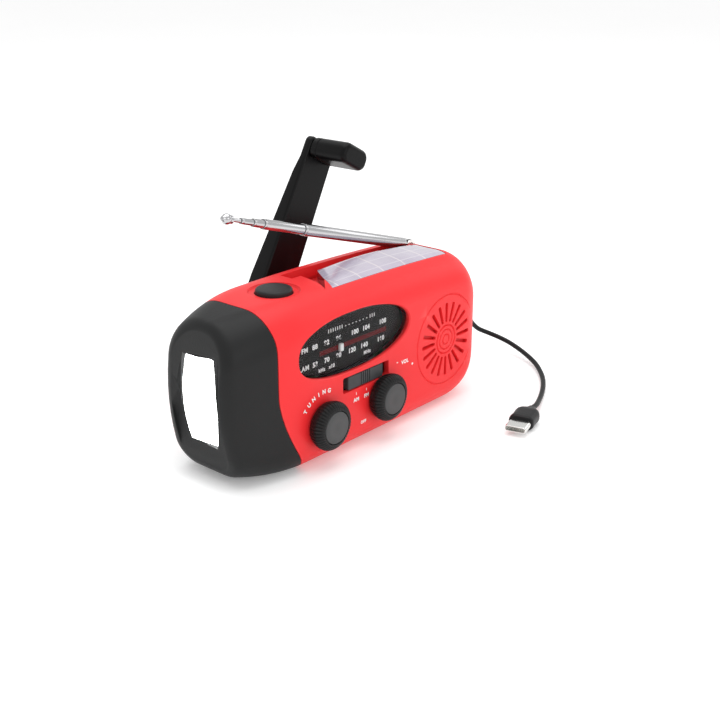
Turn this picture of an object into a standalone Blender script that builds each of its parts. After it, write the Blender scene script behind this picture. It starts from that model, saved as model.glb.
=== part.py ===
"""Hand-crank emergency radio: an assembly of separate solids in metres, +Z up.

The frame: +X runs from the torch end to the loudspeaker end, -Y is the front with the dial
and the knobs, and the origin lies on the flat base under the middle of the casing.
"""

import math

import bmesh
import bpy
from mathutils import Matrix, Vector

MM = 0.001

# Casing: overall sizes, wall and the shape of its two ends.
CASE_HALF_LENGTH = 64.0 * MM
CASE_DEPTH = 43.6 * MM
CASE_HEIGHT = 58.3 * MM
TOP_CROWN = 1.5 * MM
WALL = 2.2 * MM
TOP_EDGE_RADIUS = 13.7 * MM
BASE_EDGE_RADIUS = 8.6 * MM
NOSE_LENGTH = 29.2 * MM
NOSE_HALF_WIDTH = 14.4 * MM
NOSE_DROP = 2.9 * MM
NOSE_LIFT = 3.3 * MM
NOSE_LIFT_LENGTH = 35.3 * MM
NOSE_BULGE = 4.2 * MM
NOSE_EDGE = 3.0 * MM
TAIL_TOP_RADIUS = 17.5 * MM
TAIL_BASE_RADIUS = 20.9 * MM
TAIL_PLAN_RADIUS = 12.7 * MM
SPLIT_Y = 12.0 * MM
GAP = 0.3 * MM
BEYOND = CASE_HALF_LENGTH + 26 * MM
ABOVE = CASE_HEIGHT + 21.7 * MM

# Torch end: where the cap meets the casing, and the window.
CAP_EDGE_X = -49.2 * MM
CAP_SWEEP = 12.0 * MM
CAP_SWEEP_HEIGHT = 30.0 * MM
CAP_TOP_LEAN = 0.9 * MM
LENS_HALF_WIDTH = 6.4 * MM
LENS_BOW = 1.4 * MM
LENS_HEIGHT = 30.6 * MM
LENS_CENTRE_Z = 29.2 * MM
LENS_RECESS = 1.6 * MM
LENS_THICKNESS = 1.6 * MM
REFLECTOR_DEPTH = 8.0 * MM
LED_COUNT = 3
LED_PITCH = 9.8 * MM
CUP_RADIUS = 4.5 * MM
LED_RADIUS = 1.6 * MM

# Torch button on the top.
BUTTON_X = -32.4 * MM
BUTTON_Y = -1.9 * MM
BUTTON_RADIUS = 6.4 * MM
BUTTON_RING_RADIUS = 9.1 * MM
BUTTON_PROUD = 1.1 * MM
BUTTON_TRAVEL = 1.2 * MM

# Solar panel, the notch at its end and the antenna channel behind it.
PANEL_LEFT_X = -12.0 * MM
PANEL_RIGHT_X = 49.0 * MM
PANEL_FRONT_Y = -13.0 * MM
PANEL_REAR_Y = 1.8 * MM
PANEL_THICKNESS = 1.6 * MM
CHANNEL_LEFT_X = -19.0 * MM
CHANNEL_RIGHT_X = 51.5 * MM
CHANNEL_WIDTH = 5.8 * MM
CHANNEL_DEPTH = 5.0 * MM
DECK_WALL = 1.6 * MM

# Telescopic antenna.
ANTENNA_X = 48.0 * MM
ANTENNA_Y = 5.5 * MM
ANTENNA_Z = CASE_HEIGHT - 0.3 * MM
ANTENNA_ANGLE = math.radians(16.35)
ANTENNA_TUBE_LENGTH = 61.0 * MM
ANTENNA_RADIUS = 2.2 * MM
ANTENNA_STEP = 0.37 * MM
ANTENNA_TUBE_WALL = 0.25 * MM
ANTENNA_ROOT = 6.0 * MM
ANTENNA_INNER_STEP = 1.1 * MM
ANTENNA_SHOWN = (20.0 * MM, 4.8 * MM, 5.5 * MM, 3.6 * MM)
ANTENNA_TIP_LENGTH = 5.0 * MM
ANTENNA_TIP_RADIUS = 1.9 * MM

# Dial window.
DIAL_X = -12.2 * MM
DIAL_Z = 41.0 * MM
DIAL_HALF_WIDTH = 28.8 * MM
DIAL_HALF_HEIGHT = 10.6 * MM
DIAL_RECESS = 0.9 * MM
DIAL_WINDOW_THICKNESS = 1.0 * MM
DIAL_PLATE_THICKNESS = 1.0 * MM
POINTER_Z = 39.4 * MM
POINTER_X = -18.0 * MM
POINTER_LOW_X = -27.0 * MM
POINTER_HIGH_X = 6.0 * MM

# Knobs.
KNOB_RADIUS = 8.9 * MM
KNOB_CAP_RADIUS = 5.75 * MM
KNOB_HEIGHT = 6.0 * MM
KNOB_RIBS = 28
TUNING_X = -29.6 * MM
TUNING_Z = 15.5 * MM
VOLUME_X = 1.3 * MM
VOLUME_Z = 16.2 * MM
SHAFT_RADIUS = 3.0 * MM

# Band switch.
SWITCH_X = -7.6 * MM
SWITCH_Z = 25.9 * MM
SWITCH_SLOT_LENGTH = 24.4 * MM
SWITCH_SLOT_HEIGHT = 5.6 * MM
SLIDER_LENGTH = 18.6 * MM
SWITCH_TRAVEL = 2.4 * MM

# Loudspeaker and its grille.
SPEAKER_X = 38.9 * MM
SPEAKER_Z = 27.2 * MM
SPEAKER_RADIUS = 15.0 * MM
SPEAKER_DEPTH = 11.0 * MM
GRILLE_SLOTS = 20
GRILLE_SLOT_WIDTH = 1.1 * MM
GRILLE_INNER_RADIUS = 7.0 * MM
GRILLE_OUTER_RADIUS = 14.4 * MM

# Crank.
CRANK_X = -10.8 * MM
CRANK_Z = 32.0 * MM
CRANK_TILT = math.radians(27.9)
CRANK_REACH = 71.3 * MM
HUB_RADIUS = 11.0 * MM
HUB_THICKNESS = 4.0 * MM
LUG_OFFSET = 6.0 * MM
LUG_WIDTH = 7.0 * MM
ARM_FRONT_Y = 26.5 * MM
ARM_ROOT_WIDTH = 17.6 * MM
ARM_TOP_WIDTH = 15.0 * MM
ARM_ROOT_THICKNESS = 7.0 * MM
ARM_TOP_THICKNESS = 2.6 * MM
FOLD_PIN_RADIUS = 1.5 * MM
GRIP_TIP_Y = 9.2 * MM
GRIP_WIDTH = 14.2 * MM
GRIP_HEIGHT = 8.0 * MM
GRIP_PIN_RADIUS = 1.8 * MM

# Gear train from the crank to the dynamo.
GEAR_MODULE = 0.8 * MM
CRANK_TEETH = 36
IDLER_PINION_TEETH = 12
IDLER_TEETH = 30
ROTOR_TEETH = 10
GEAR_WIDTH = 3.0 * MM
CRANK_GEAR_Y = 15.6 * MM
IDLER_GEAR_Y = 11.8 * MM
DYNAMO_RADIUS = 11.0 * MM
DYNAMO_DEPTH = 8.5 * MM

# Sockets at the loudspeaker end, the lead and its two plugs.
SOCKET_Y = 4.3 * MM
SOCKET_Z = 17.0 * MM
SOCKET_WIDTH = 14.0 * MM
SOCKET_HEIGHT = 6.6 * MM
SOCKET_DEPTH = 13.0 * MM
CHARGE_Z = 27.0 * MM
PLUG_LENGTH = 17.0 * MM
PLUG_WIDTH = 14.6 * MM
PLUG_HEIGHT = 7.4 * MM
RELIEF_LENGTH = 7.4 * MM
CORD_DIAMETER = 2.0 * MM
# From the foot of the casing's loudspeaker end.
CORD_ROUTE_MM = (
    (24.4, 4.3, 17.0), (27.6, 4.7, 15.6), (30.9, 5.0, 12.4), (34.2, 4.3, 9.5), (37.2, 1.8, 7.6),
    (38.9, -2.6, 6.2), (39.1, -8.2, 5.0), (37.9, -14.2, 3.8), (35.5, -20.4, 2.8), (31.8, -26.8, 2.0),
    (27.0, -32.3, 1.5), (20.8, -37.7, 1.25), (13.8, -42.3, 1.2), (6.5, -46.2, 1.3), (-0.8, -49.6, 1.8),
    (-6.8, -52.2, 2.6), (-11.6, -53.5, 3.3),
)
CORD_ROUTE = [Vector(p) * MM + Vector((CASE_HALF_LENGTH, 0, 0)) for p in CORD_ROUTE_MM]
END_PLUG_LENGTH = 14.0 * MM
END_PLUG_WIDTH = 9.6 * MM
END_PLUG_HEIGHT = 5.6 * MM

RED = (0.80, 0.045, 0.05)
CHARCOAL = (0.035, 0.036, 0.038)
BLACK = (0.012, 0.012, 0.013)
MID_GREY = (0.12, 0.12, 0.12)
WHITE = (0.85, 0.85, 0.85)
STEEL = (0.62, 0.62, 0.62)
GREEN = (0.02, 0.16, 0.07)
CREAM = (0.75, 0.72, 0.62)
FERRITE = (0.05, 0.045, 0.042)
COPPER = (0.70, 0.30, 0.14)
CLEAR = (0.85, 0.88, 0.90)

for old in list(bpy.data.objects):
    bpy.data.objects.remove(old, do_unlink=True)

RADIO = bpy.data.collections.new("emergency_radio")
CUTTERS = bpy.data.collections.new("cutters")
bpy.context.scene.collection.children.link(RADIO)
bpy.context.scene.collection.children.link(CUTTERS)


# ---------------------------------------------------------------- helpers

def add_object(name, mesh, colour, metallic=0.0, roughness=0.5, origin=(0, 0, 0)):
    """Links a mesh given in world coordinates as a sub-part whose origin is at the given point."""
    mesh.transform(Matrix.Translation(-Vector(origin)))
    piece = bpy.data.objects.new(name, mesh)
    piece.location = origin
    RADIO.objects.link(piece)
    material = bpy.data.materials.new(name)
    material.use_nodes = True
    shader = material.node_tree.nodes["Principled BSDF"]
    shader.inputs["Base Color"].default_value = (*colour, 1.0)
    shader.inputs["Metallic"].default_value = metallic
    shader.inputs["Roughness"].default_value = roughness
    mesh.materials.append(material)
    mesh.shade_smooth()
    mesh.set_sharp_from_angle(angle=math.radians(35))
    return piece


def mesh_of(name, build):
    """A mesh filled by a function that draws into a bmesh, with its faces turned outwards."""
    drawing = bmesh.new()
    build(drawing)
    bmesh.ops.recalc_face_normals(drawing, faces=drawing.faces)
    mesh = bpy.data.meshes.new(name)
    drawing.to_mesh(mesh)
    drawing.free()
    return mesh


def box_mesh(name, low, high):
    low, high = Vector(low), Vector(high)
    size = high - low
    matrix = Matrix.Translation((low + high) / 2) @ Matrix.Diagonal((*size, 1.0))
    return mesh_of(name, lambda b: bmesh.ops.create_cube(b, size=1.0, matrix=matrix))


def toward(axis):
    """The turn that carries +Z onto an axis."""
    return Vector((0, 0, 1)).rotation_difference(Vector(axis)).to_matrix().to_4x4()


def rod_mesh(name, start, axis, length, radius, end_radius=None, sides=24):
    """A round bar from a start point along an axis."""
    direction = Vector(axis).normalized()
    middle = Vector(start) + direction * (length / 2)
    matrix = Matrix.Translation(middle) @ toward(direction)
    end_radius = radius if end_radius is None else end_radius
    return mesh_of(name, lambda b: bmesh.ops.create_cone(
        b, cap_ends=True, segments=sides, radius1=radius, radius2=end_radius,
        depth=length, matrix=matrix))


def prism_mesh(name, outline, low, high, plane="XZ"):
    """A flat outline extruded across its plane; the outline runs either way round."""
    def build(drawing):
        def corner(u, v, w):
            return {"XZ": (u, w, v), "XY": (u, v, w), "YZ": (w, u, v)}[plane]
        near = [drawing.verts.new(corner(u, v, low)) for u, v in outline]
        far = [drawing.verts.new(corner(u, v, high)) for u, v in outline]
        drawing.faces.new(near)
        drawing.faces.new(list(reversed(far)))
        for i in range(len(outline)):
            j = (i + 1) % len(outline)
            drawing.faces.new((near[i], near[j], far[j], far[i]))
    return mesh_of(name, build)


def turned_object(name, profile, origin, axis, colour, metallic=0.0, roughness=0.5, sides=24):
    """A turned shape: a radius and height profile, outer side top to bottom, with a Screw modifier."""
    mesh = bpy.data.meshes.new(name)
    closed = profile[0][0] > 1e-6 or profile[-1][0] > 1e-6
    count = len(profile)
    edges = [(i, i + 1) for i in range(count - 1)]
    if closed:
        edges.append((count - 1, 0))
    mesh.from_pydata([(r, 0, h) for r, h in profile], edges, [])
    piece = add_object(name, mesh, colour, metallic, roughness)
    piece.matrix_world = Matrix.Translation(origin) @ toward(axis)
    screw = piece.modifiers.new("Turn", "SCREW")
    screw.steps = sides
    screw.render_steps = sides
    screw.use_merge_vertices = True
    screw.merge_threshold = 1e-6
    screw.use_smooth_shade = True
    return piece


def cutter(mesh):
    tool = bpy.data.objects.new(mesh.name, mesh)
    tool.hide_render = True
    tool.display_type = "WIRE"
    CUTTERS.objects.link(tool)
    return tool


def combine(piece, mesh, operation="DIFFERENCE"):
    """Cuts, joins or trims a piece with a mesh given in the coordinates of the piece's parent."""
    step = piece.modifiers.new(mesh.name, "BOOLEAN")
    step.operation = operation
    step.solver = "EXACT"
    step.object = cutter(mesh)
    step.object.parent = piece.parent
    return step


def joint_frame(name, place, axis, angle):
    """An empty on a joint's axis, for the pieces that are built upright and then tilted."""
    frame = bpy.data.objects.new(name, None)
    frame.location = place
    frame.rotation_euler = Matrix.Rotation(angle, 3, axis).to_euler()
    RADIO.objects.link(frame)
    return frame


def soften(piece, width, segments=2, angle=40):
    """Rounds the edges of a piece."""
    bevel = piece.modifiers.new("Bevel", "BEVEL")
    bevel.width = width
    bevel.segments = segments
    bevel.limit_method = "ANGLE"
    bevel.angle_limit = math.radians(angle)
    return bevel


def box(name, low, high, colour, metallic=0.0, roughness=0.5, origin=(0, 0, 0)):
    return add_object(name, box_mesh(name, low, high), colour, metallic, roughness, origin)


def rod(name, start, axis, length, radius, colour, metallic=0.0, sides=24, origin=(0, 0, 0)):
    mesh = rod_mesh(name, start, axis, length, radius, sides=sides)
    return add_object(name, mesh, colour, metallic, 0.35, origin)


def rounded_box_outline(centre_u, centre_v, width, height, radius, steps=4):
    points = []
    for quarter, (su, sv) in enumerate(((1, 1), (-1, 1), (-1, -1), (1, -1))):
        for k in range(steps + 1):
            angle = math.pi / 2 * (quarter + k / steps)
            points.append((centre_u + su * (width / 2 - radius) + radius * math.cos(angle),
                           centre_v + sv * (height / 2 - radius) + radius * math.sin(angle)))
    return points


# ---------------------------------------------------------------- casing

def corner_drop(x, radius, share):
    """How far a rounded end has fallen at x, for a corner of that radius."""
    start = CASE_HALF_LENGTH - radius
    if x <= start:
        return 0.0
    q = min(1.0, (x - start) / radius)
    return share * radius * (1 - math.sqrt(max(0.0, 1 - q * q)))


def case_section(x):
    """Half width, base height and top height of the casing's outside at x."""
    nose = max(0.0, (-(CASE_HALF_LENGTH - NOSE_LENGTH) - x) / NOSE_LENGTH)
    lift = max(0.0, (-(CASE_HALF_LENGTH - NOSE_LIFT_LENGTH) - x) / NOSE_LIFT_LENGTH)
    half_width = CASE_DEPTH / 2 - (CASE_DEPTH / 2 - NOSE_HALF_WIDTH) * nose ** 2
    half_width -= corner_drop(x, TAIL_PLAN_RADIUS, 0.8)
    crown = TOP_CROWN * (1 - ((x + 10 * MM) / (60 * MM)) ** 2)
    top = CASE_HEIGHT - NOSE_DROP * nose ** 2 - corner_drop(x, TAIL_TOP_RADIUS, 0.9) + crown
    base = NOSE_LIFT * lift ** 3 + corner_drop(x, TAIL_BASE_RADIUS, 1.0)
    return half_width, base, top


def section_ring(x, inset, bulge, steps=5):
    """The points of a cross-section, in left and right pairs from the base up."""
    half_width, base, top = case_section(x)
    half_width -= inset
    base += inset
    top -= inset
    reach = (top - base) / 2
    low_radius = min(max(BASE_EDGE_RADIUS - inset, 1.0 * MM), half_width * 0.95, reach * 0.95)
    top_radius = min(max(TOP_EDGE_RADIUS - inset, 1.0 * MM), half_width * 0.95, reach * 0.95)
    side = []
    for k in range(steps + 1):
        angle = math.pi / 2 * k / steps
        side.append((half_width - low_radius + low_radius * math.sin(angle),
                     base + low_radius - low_radius * math.cos(angle)))
    side.append((half_width, base + (top - base) * 0.45))
    for k in range(steps + 1):
        angle = math.pi / 2 * k / steps
        side.append((half_width - top_radius + top_radius * math.cos(angle),
                     top - top_radius + top_radius * math.sin(angle)))
    middle = (base + top) / 2
    ring = []
    for y, z in side:
        swell = bulge * NOSE_BULGE * max(0.0, 1 - ((z - middle) / reach) ** 2)
        ring.append(((x - swell, y, z), (x - swell, -y, z)))
    return ring


def case_stations(inset):
    """Where the cross-sections stand: x, how far the edge is rounded in, and the share of the bulge."""
    left = -CASE_HALF_LENGTH + inset
    right = CASE_HALF_LENGTH - inset
    stations = []
    edge = NOSE_EDGE if inset == 0 else 0.5 * MM
    for k in range(4):
        angle = math.pi / 2 * k / 3
        stations.append((left + edge * (1 - math.cos(angle)), edge * (1 - math.sin(angle)), 1.0))
    for share in (0.75, 0.45, 0.2, 0.0):
        stations.append((left + edge + (1 - share) * 12 * MM, 0.0, share))
    for x in (-45, -39, -34, -28, -12, 8, 28, 42, 47.5):
        stations.append((x * MM, 0.0, 0.0))
    for q in (0.55, 0.72, 0.85, 0.94, 0.985, 1.0):
        stations.append((right - TAIL_PLAN_RADIUS * (1 - q), 0.0, 0.0))
    return stations


def case_mesh(name, inset):
    """The casing's closed outer skin, or the same skin moved inwards."""
    def build(drawing):
        rings = []
        for x, edge, bulge in case_stations(inset):
            ring = section_ring(x, inset + edge, bulge)
            rings.append([(drawing.verts.new(a), drawing.verts.new(b)) for a, b in ring])
        for near, far in zip(rings, rings[1:]):
            for i in range(len(near) - 1):
                drawing.faces.new((near[i][0], far[i][0], far[i + 1][0], near[i + 1][0]))
                drawing.faces.new((near[i][1], near[i + 1][1], far[i + 1][1], far[i][1]))
            drawing.faces.new((near[0][1], near[0][0], far[0][0], far[0][1]))
            drawing.faces.new((near[-1][0], near[-1][1], far[-1][1], far[-1][0]))
        for ring in (rings[0], rings[-1]):
            for i in range(len(ring) - 1):
                drawing.faces.new((ring[i][0], ring[i][1], ring[i + 1][1], ring[i + 1][0]))
    return mesh_of(name, build)


def cap_edge_x(z):
    """Where the torch cap ends and the casing starts, at a height."""
    if z < CAP_SWEEP_HEIGHT:
        return CAP_EDGE_X + CAP_SWEEP * ((CAP_SWEEP_HEIGHT - z) / CAP_SWEEP_HEIGHT) ** 1.6
    lean = max(0.0, (z - 50 * MM) / (10 * MM))
    return CAP_EDGE_X - CAP_TOP_LEAN * lean


def cap_region(name, shift, beyond):
    """The space on one side of the cap's edge: beyond is the far x of the block."""
    heights = [z * MM for z in (-2, 0, 2, 5, 8, 12, 16, 20, 25, 30, 50)] + [CASE_HEIGHT + 5.7 * MM]
    outline = [(cap_edge_x(max(0.0, z)) + shift, z) for z in heights]
    outline += [(beyond, CASE_HEIGHT + 5.7 * MM), (beyond, -2 * MM)]
    return prism_mesh(name, outline, -30 * MM, 30 * MM)


def top_z(x):
    return case_section(x)[2]


def panel_outline(grow):
    """The solar panel seen from above: straight front and rear, curved left end."""
    front = PANEL_FRONT_Y - grow
    rear = PANEL_REAR_Y + grow
    points = [(PANEL_RIGHT_X + grow, front), (PANEL_RIGHT_X + grow, rear)]
    for k in range(7):
        t = k / 6
        x = PANEL_LEFT_X + 5 * MM * (1 - t) ** 2 - 3.2 * MM * t * t - grow
        points.append((x, rear + (front - rear) * t))
    return points


def notch_outline():
    """The crescent finger notch between the panel's left end and the casing's top."""
    points = []
    rear = ANTENNA_Y + CHANNEL_WIDTH / 2
    for k in range(7):
        t = k / 6
        points.append((-14.4 * MM - 4.4 * MM * t * t, rear + (PANEL_FRONT_Y - rear) * t))
    points.append((PANEL_LEFT_X + 8 * MM, PANEL_REAR_Y))
    points.append((PANEL_LEFT_X + 8 * MM, rear))
    return points


def dial_outline(grow, points=28):
    """The dial's leaf shape: blunt to the left, finer to the right."""
    outline = []
    for k in range(points):
        angle = 2 * math.pi * k / points
        c, s = math.cos(angle), math.sin(angle)
        power = 2 / (2.5 if c < 0 else 2.08)
        outline.append((DIAL_X + (DIAL_HALF_WIDTH + grow) * math.copysign(abs(c) ** power, c),
                        DIAL_Z + (DIAL_HALF_HEIGHT + grow) * math.copysign(abs(s) ** power, s)))
    return outline


SCREW_PLACES = ((-43.0 * MM, 46.0 * MM), (-33.0 * MM, 7.6 * MM), (45.5 * MM, 46.0 * MM), (42.0 * MM, 7.4 * MM))
BOSS_RADIUS = 3.1 * MM
SCREW_RADIUS = 1.2 * MM
SCREW_HEAD_RADIUS = 2.4 * MM
SCREW_LENGTH = 13.0 * MM
SCREW_HEAD_Y = 17.0 * MM
FRONT_Y = -CASE_DEPTH / 2
REAR_Y = CASE_DEPTH / 2
INNER_FRONT_Y = FRONT_Y + WALL
INNER_REAR_Y = REAR_Y - WALL


def hollow_case(name):
    piece = add_object(name, case_mesh(name, 0.0), RED, roughness=0.38)
    combine(piece, case_mesh(name + "_inside", WALL))
    return piece


def top_deck(piece):
    """Floor and walls under the panel, the notch and the antenna channel, trimmed to the outside."""
    low = top_z(0) - CHANNEL_DEPTH - DECK_WALL
    tray = cutter(case_mesh("deck", 0.6 * MM))
    rear = ANTENNA_Y + CHANNEL_WIDTH / 2 + DECK_WALL
    combine(tray, box_mesh("deck_keep", (CHANNEL_LEFT_X - DECK_WALL, PANEL_FRONT_Y - DECK_WALL, low),
                           (CHANNEL_RIGHT_X + DECK_WALL, rear, ABOVE)), "INTERSECT")
    join = piece.modifiers.new("Deck", "BOOLEAN")
    join.operation = "UNION"
    join.solver = "EXACT"
    join.object = tray
    under = top_z(0) - 4.6 * MM
    combine(piece, box_mesh("deck_hollow", (CHANNEL_LEFT_X - 3 * MM, PANEL_FRONT_Y - 2 * MM, low - 2 * MM),
                            (CHANNEL_RIGHT_X - 2 * MM, ANTENNA_Y - CHANNEL_WIDTH / 2 - DECK_WALL, under)))


def make_front_shell():
    shell = hollow_case("front_shell")
    top_deck(shell)
    for x, z in SCREW_PLACES:
        combine(shell, rod_mesh("boss", (x, INNER_FRONT_Y - 0.3 * MM, z), (0, 1, 0),
                                SPLIT_Y - INNER_FRONT_Y + 0.3 * MM, BOSS_RADIUS, sides=12), "UNION")
    combine(shell, box_mesh("front_half", (-BEYOND, -40 * MM, -10 * MM), (BEYOND, SPLIT_Y - GAP / 2, ABOVE)),
            "INTERSECT")
    combine(shell, cap_region("cap_side", GAP / 2, -BEYOND))
    for x, z in SCREW_PLACES:
        combine(shell, rod_mesh("pilot", (x, SPLIT_Y + 1 * MM, z), (0, -1, 0), 12 * MM, SCREW_RADIUS + GAP,
                                sides=10))
    combine(shell, prism_mesh("dial_opening", dial_outline(0), FRONT_Y - 2 * MM, INNER_FRONT_Y + 3 * MM))
    for x, z in ((TUNING_X, TUNING_Z), (VOLUME_X, VOLUME_Z)):
        combine(shell, rod_mesh("shaft_hole", (x, FRONT_Y - 2 * MM, z), (0, 1, 0), 6 * MM,
                                SHAFT_RADIUS + GAP, sides=16))
    slot = rounded_box_outline(SWITCH_X, SWITCH_Z, SWITCH_SLOT_LENGTH, SWITCH_SLOT_HEIGHT, 0.8 * MM, 2)
    combine(shell, prism_mesh("switch_slot", slot, FRONT_Y - 2 * MM, INNER_FRONT_Y + 2 * MM))
    cut_grille(shell)
    cut_top(shell)
    cut_sockets(shell)
    return shell


def cut_grille(shell):
    """Radial sound slots."""
    for k in range(GRILLE_SLOTS):
        angle = 2 * math.pi * k / GRILLE_SLOTS
        along = Vector((math.cos(angle), 0, math.sin(angle)))
        centre = Vector((SPEAKER_X, INNER_FRONT_Y - WALL / 2, SPEAKER_Z))
        centre += along * (GRILLE_INNER_RADIUS + GRILLE_OUTER_RADIUS) / 2
        turn = Matrix.Rotation(-angle, 4, "Y")
        size = Matrix.Diagonal((GRILLE_OUTER_RADIUS - GRILLE_INNER_RADIUS, 3 * WALL, GRILLE_SLOT_WIDTH,
                                1.0))
        matrix = Matrix.Translation(centre) @ turn @ size
        combine(shell, mesh_of("slot", lambda b: bmesh.ops.create_cube(b, size=1.0, matrix=matrix)))


def cut_top(shell):
    """The button's ring and hole, the panel's pocket, the notch and the antenna channel."""
    surface = top_z(BUTTON_X)
    combine(shell, rod_mesh("button_ring", (BUTTON_X, BUTTON_Y, surface + 3 * MM), (0, 0, -1), 3.7 * MM,
                            BUTTON_RING_RADIUS))
    combine(shell, rod_mesh("button_hole", (BUTTON_X, BUTTON_Y, surface + 3 * MM), (0, 0, -1), 12 * MM,
                            BUTTON_RADIUS + GAP))
    floor = top_z(PANEL_RIGHT_X) - PANEL_THICKNESS - GAP
    combine(shell, prism_mesh("panel_pocket", panel_outline(GAP), floor, ABOVE, "XY"))
    combine(shell, prism_mesh("notch", notch_outline(), top_z(0) - 3.4 * MM, ABOVE, "XY"))
    combine(shell, box_mesh("channel", (CHANNEL_LEFT_X, ANTENNA_Y - CHANNEL_WIDTH / 2,
                                        top_z(0) - CHANNEL_DEPTH),
                            (CHANNEL_RIGHT_X, ANTENNA_Y + CHANNEL_WIDTH / 2, ABOVE)))


def cut_sockets(shell):
    """Openings for the two sockets in the loudspeaker end."""
    combine(shell, box_mesh("socket_hole", (CASE_HALF_LENGTH - 9 * MM, SOCKET_Y - SOCKET_WIDTH / 2 - GAP,
                                            SOCKET_Z - SOCKET_HEIGHT / 2 - GAP),
                            (BEYOND, SOCKET_Y + SOCKET_WIDTH / 2 + GAP,
                             SOCKET_Z + SOCKET_HEIGHT / 2 + GAP)))
    combine(shell, box_mesh("charge_hole", (CASE_HALF_LENGTH - 6 * MM, SOCKET_Y - 4.6 * MM,
                                            CHARGE_Z - 2.2 * MM),
                            (BEYOND, SOCKET_Y + 4.6 * MM, CHARGE_Z + 2.2 * MM)))


def make_rear_shell():
    shell = hollow_case("rear_shell")
    for x, z in SCREW_PLACES:
        combine(shell, rod_mesh("pillar", (x, SPLIT_Y, z), (0, 1, 0), INNER_REAR_Y - SPLIT_Y + 1 * MM,
                                BOSS_RADIUS, sides=12), "UNION")
    combine(shell, box_mesh("rear_half", (-BEYOND, SPLIT_Y + GAP / 2, -10 * MM), (BEYOND, 40 * MM, ABOVE)),
            "INTERSECT")
    combine(shell, cap_region("cap_side", GAP / 2, -BEYOND))
    for x, z in SCREW_PLACES:
        combine(shell, rod_mesh("screw_hole", (x, 40 * MM, z), (0, -1, 0), 40 * MM, SCREW_RADIUS + GAP,
                                sides=10))
        combine(shell, rod_mesh("head_recess", (x, 40 * MM, z), (0, -1, 0), 40 * MM - SCREW_HEAD_Y + GAP,
                                SCREW_HEAD_RADIUS + GAP, sides=12))
    combine(shell, rod_mesh("hub_hole", (CRANK_X, 10 * MM, CRANK_Z), (0, 1, 0), 20 * MM, SHAFT_RADIUS + GAP,
                            sides=24))
    return shell


def make_torch_cap():
    cap = add_object("torch_cap", case_mesh("torch_cap", 0.0), CHARCOAL, roughness=0.55)
    combine(cap, case_mesh("torch_cap_inside", WALL))
    combine(cap, cap_region("case_side", -GAP / 2, BEYOND))
    combine(cap, prism_mesh("window", lens_outline(GAP), -BEYOND, -CASE_HALF_LENGTH + 4 * MM, "YZ"))
    return cap


def lens_outline(grow):
    """The torch window: tall, with bowed sides."""
    half_height = LENS_HEIGHT / 2 + grow
    points = []
    for side in (1, -1):
        for k in range(7):
            t = 1 - 2 * k / 6
            y = LENS_HALF_WIDTH - LENS_BOW * t * t + LENS_BOW + grow
            points.append((side * y, LENS_CENTRE_Z + side * t * half_height))
    return points


def make_screws():
    for k, (x, z) in enumerate(SCREW_PLACES, 1):
        profile = [(0, SCREW_HEAD_Y + 1.9 * MM), (SCREW_HEAD_RADIUS * 0.7, SCREW_HEAD_Y + 1.8 * MM),
                   (SCREW_HEAD_RADIUS, SCREW_HEAD_Y + 1.1 * MM), (SCREW_HEAD_RADIUS, SCREW_HEAD_Y),
                   (SCREW_RADIUS, SCREW_HEAD_Y), (SCREW_RADIUS, SCREW_HEAD_Y - SCREW_LENGTH + 1.5 * MM),
                   (0, SCREW_HEAD_Y - SCREW_LENGTH)]
        turned_object(f"case_screw_{k}", profile, (x, 0, z), (0, 1, 0), STEEL, 1.0, 0.3, 10)


# ---------------------------------------------------------------- torch

def make_torch():
    face_x = -CASE_HALF_LENGTH - NOSE_BULGE
    lens_x = face_x + LENS_RECESS
    lens = add_object("torch_lens", prism_mesh("torch_lens", lens_outline(0), face_x - 5 * MM,
                                               face_x + 8 * MM, "YZ"),
                      CLEAR, roughness=0.05)
    combine(lens, case_mesh("lens_face", LENS_RECESS), "INTERSECT")
    combine(lens, case_mesh("lens_back", LENS_RECESS + LENS_THICKNESS))
    front = lens_x + 2 * LENS_THICKNESS + GAP
    back = front + REFLECTOR_DEPTH
    outline = rounded_box_outline(0, LENS_CENTRE_Z, 2 * LENS_HALF_WIDTH + 3 * MM, LENS_HEIGHT + 2 * MM,
                                  2.5 * MM, 2)
    reflector = add_object("reflector", prism_mesh("reflector", outline, front + 1.2 * MM, back, "YZ"),
                           STEEL, 1.0, 0.12)
    for k in range(LED_COUNT):
        z = LENS_CENTRE_Z + (k - (LED_COUNT - 1) / 2) * LED_PITCH
        combine(reflector, rod_mesh("cup", (back + 0.5 * MM, 0, z), (-1, 0, 0), REFLECTOR_DEPTH + 1 * MM,
                                    LED_RADIUS + GAP, CUP_RADIUS + 1.0 * MM, 20))
        led = rod(f"led_{k + 1}", (back + GAP, 0, z), (-1, 0, 0), 2.4 * MM, LED_RADIUS, WHITE, sides=12)
        soften(led, 0.5 * MM, 1)
    box("led_board", (back + 2 * GAP, -6 * MM, LENS_CENTRE_Z - 14 * MM),
        (back + 2 * GAP + 1.6 * MM, 6 * MM, LENS_CENTRE_Z + 14 * MM), WHITE)


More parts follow.
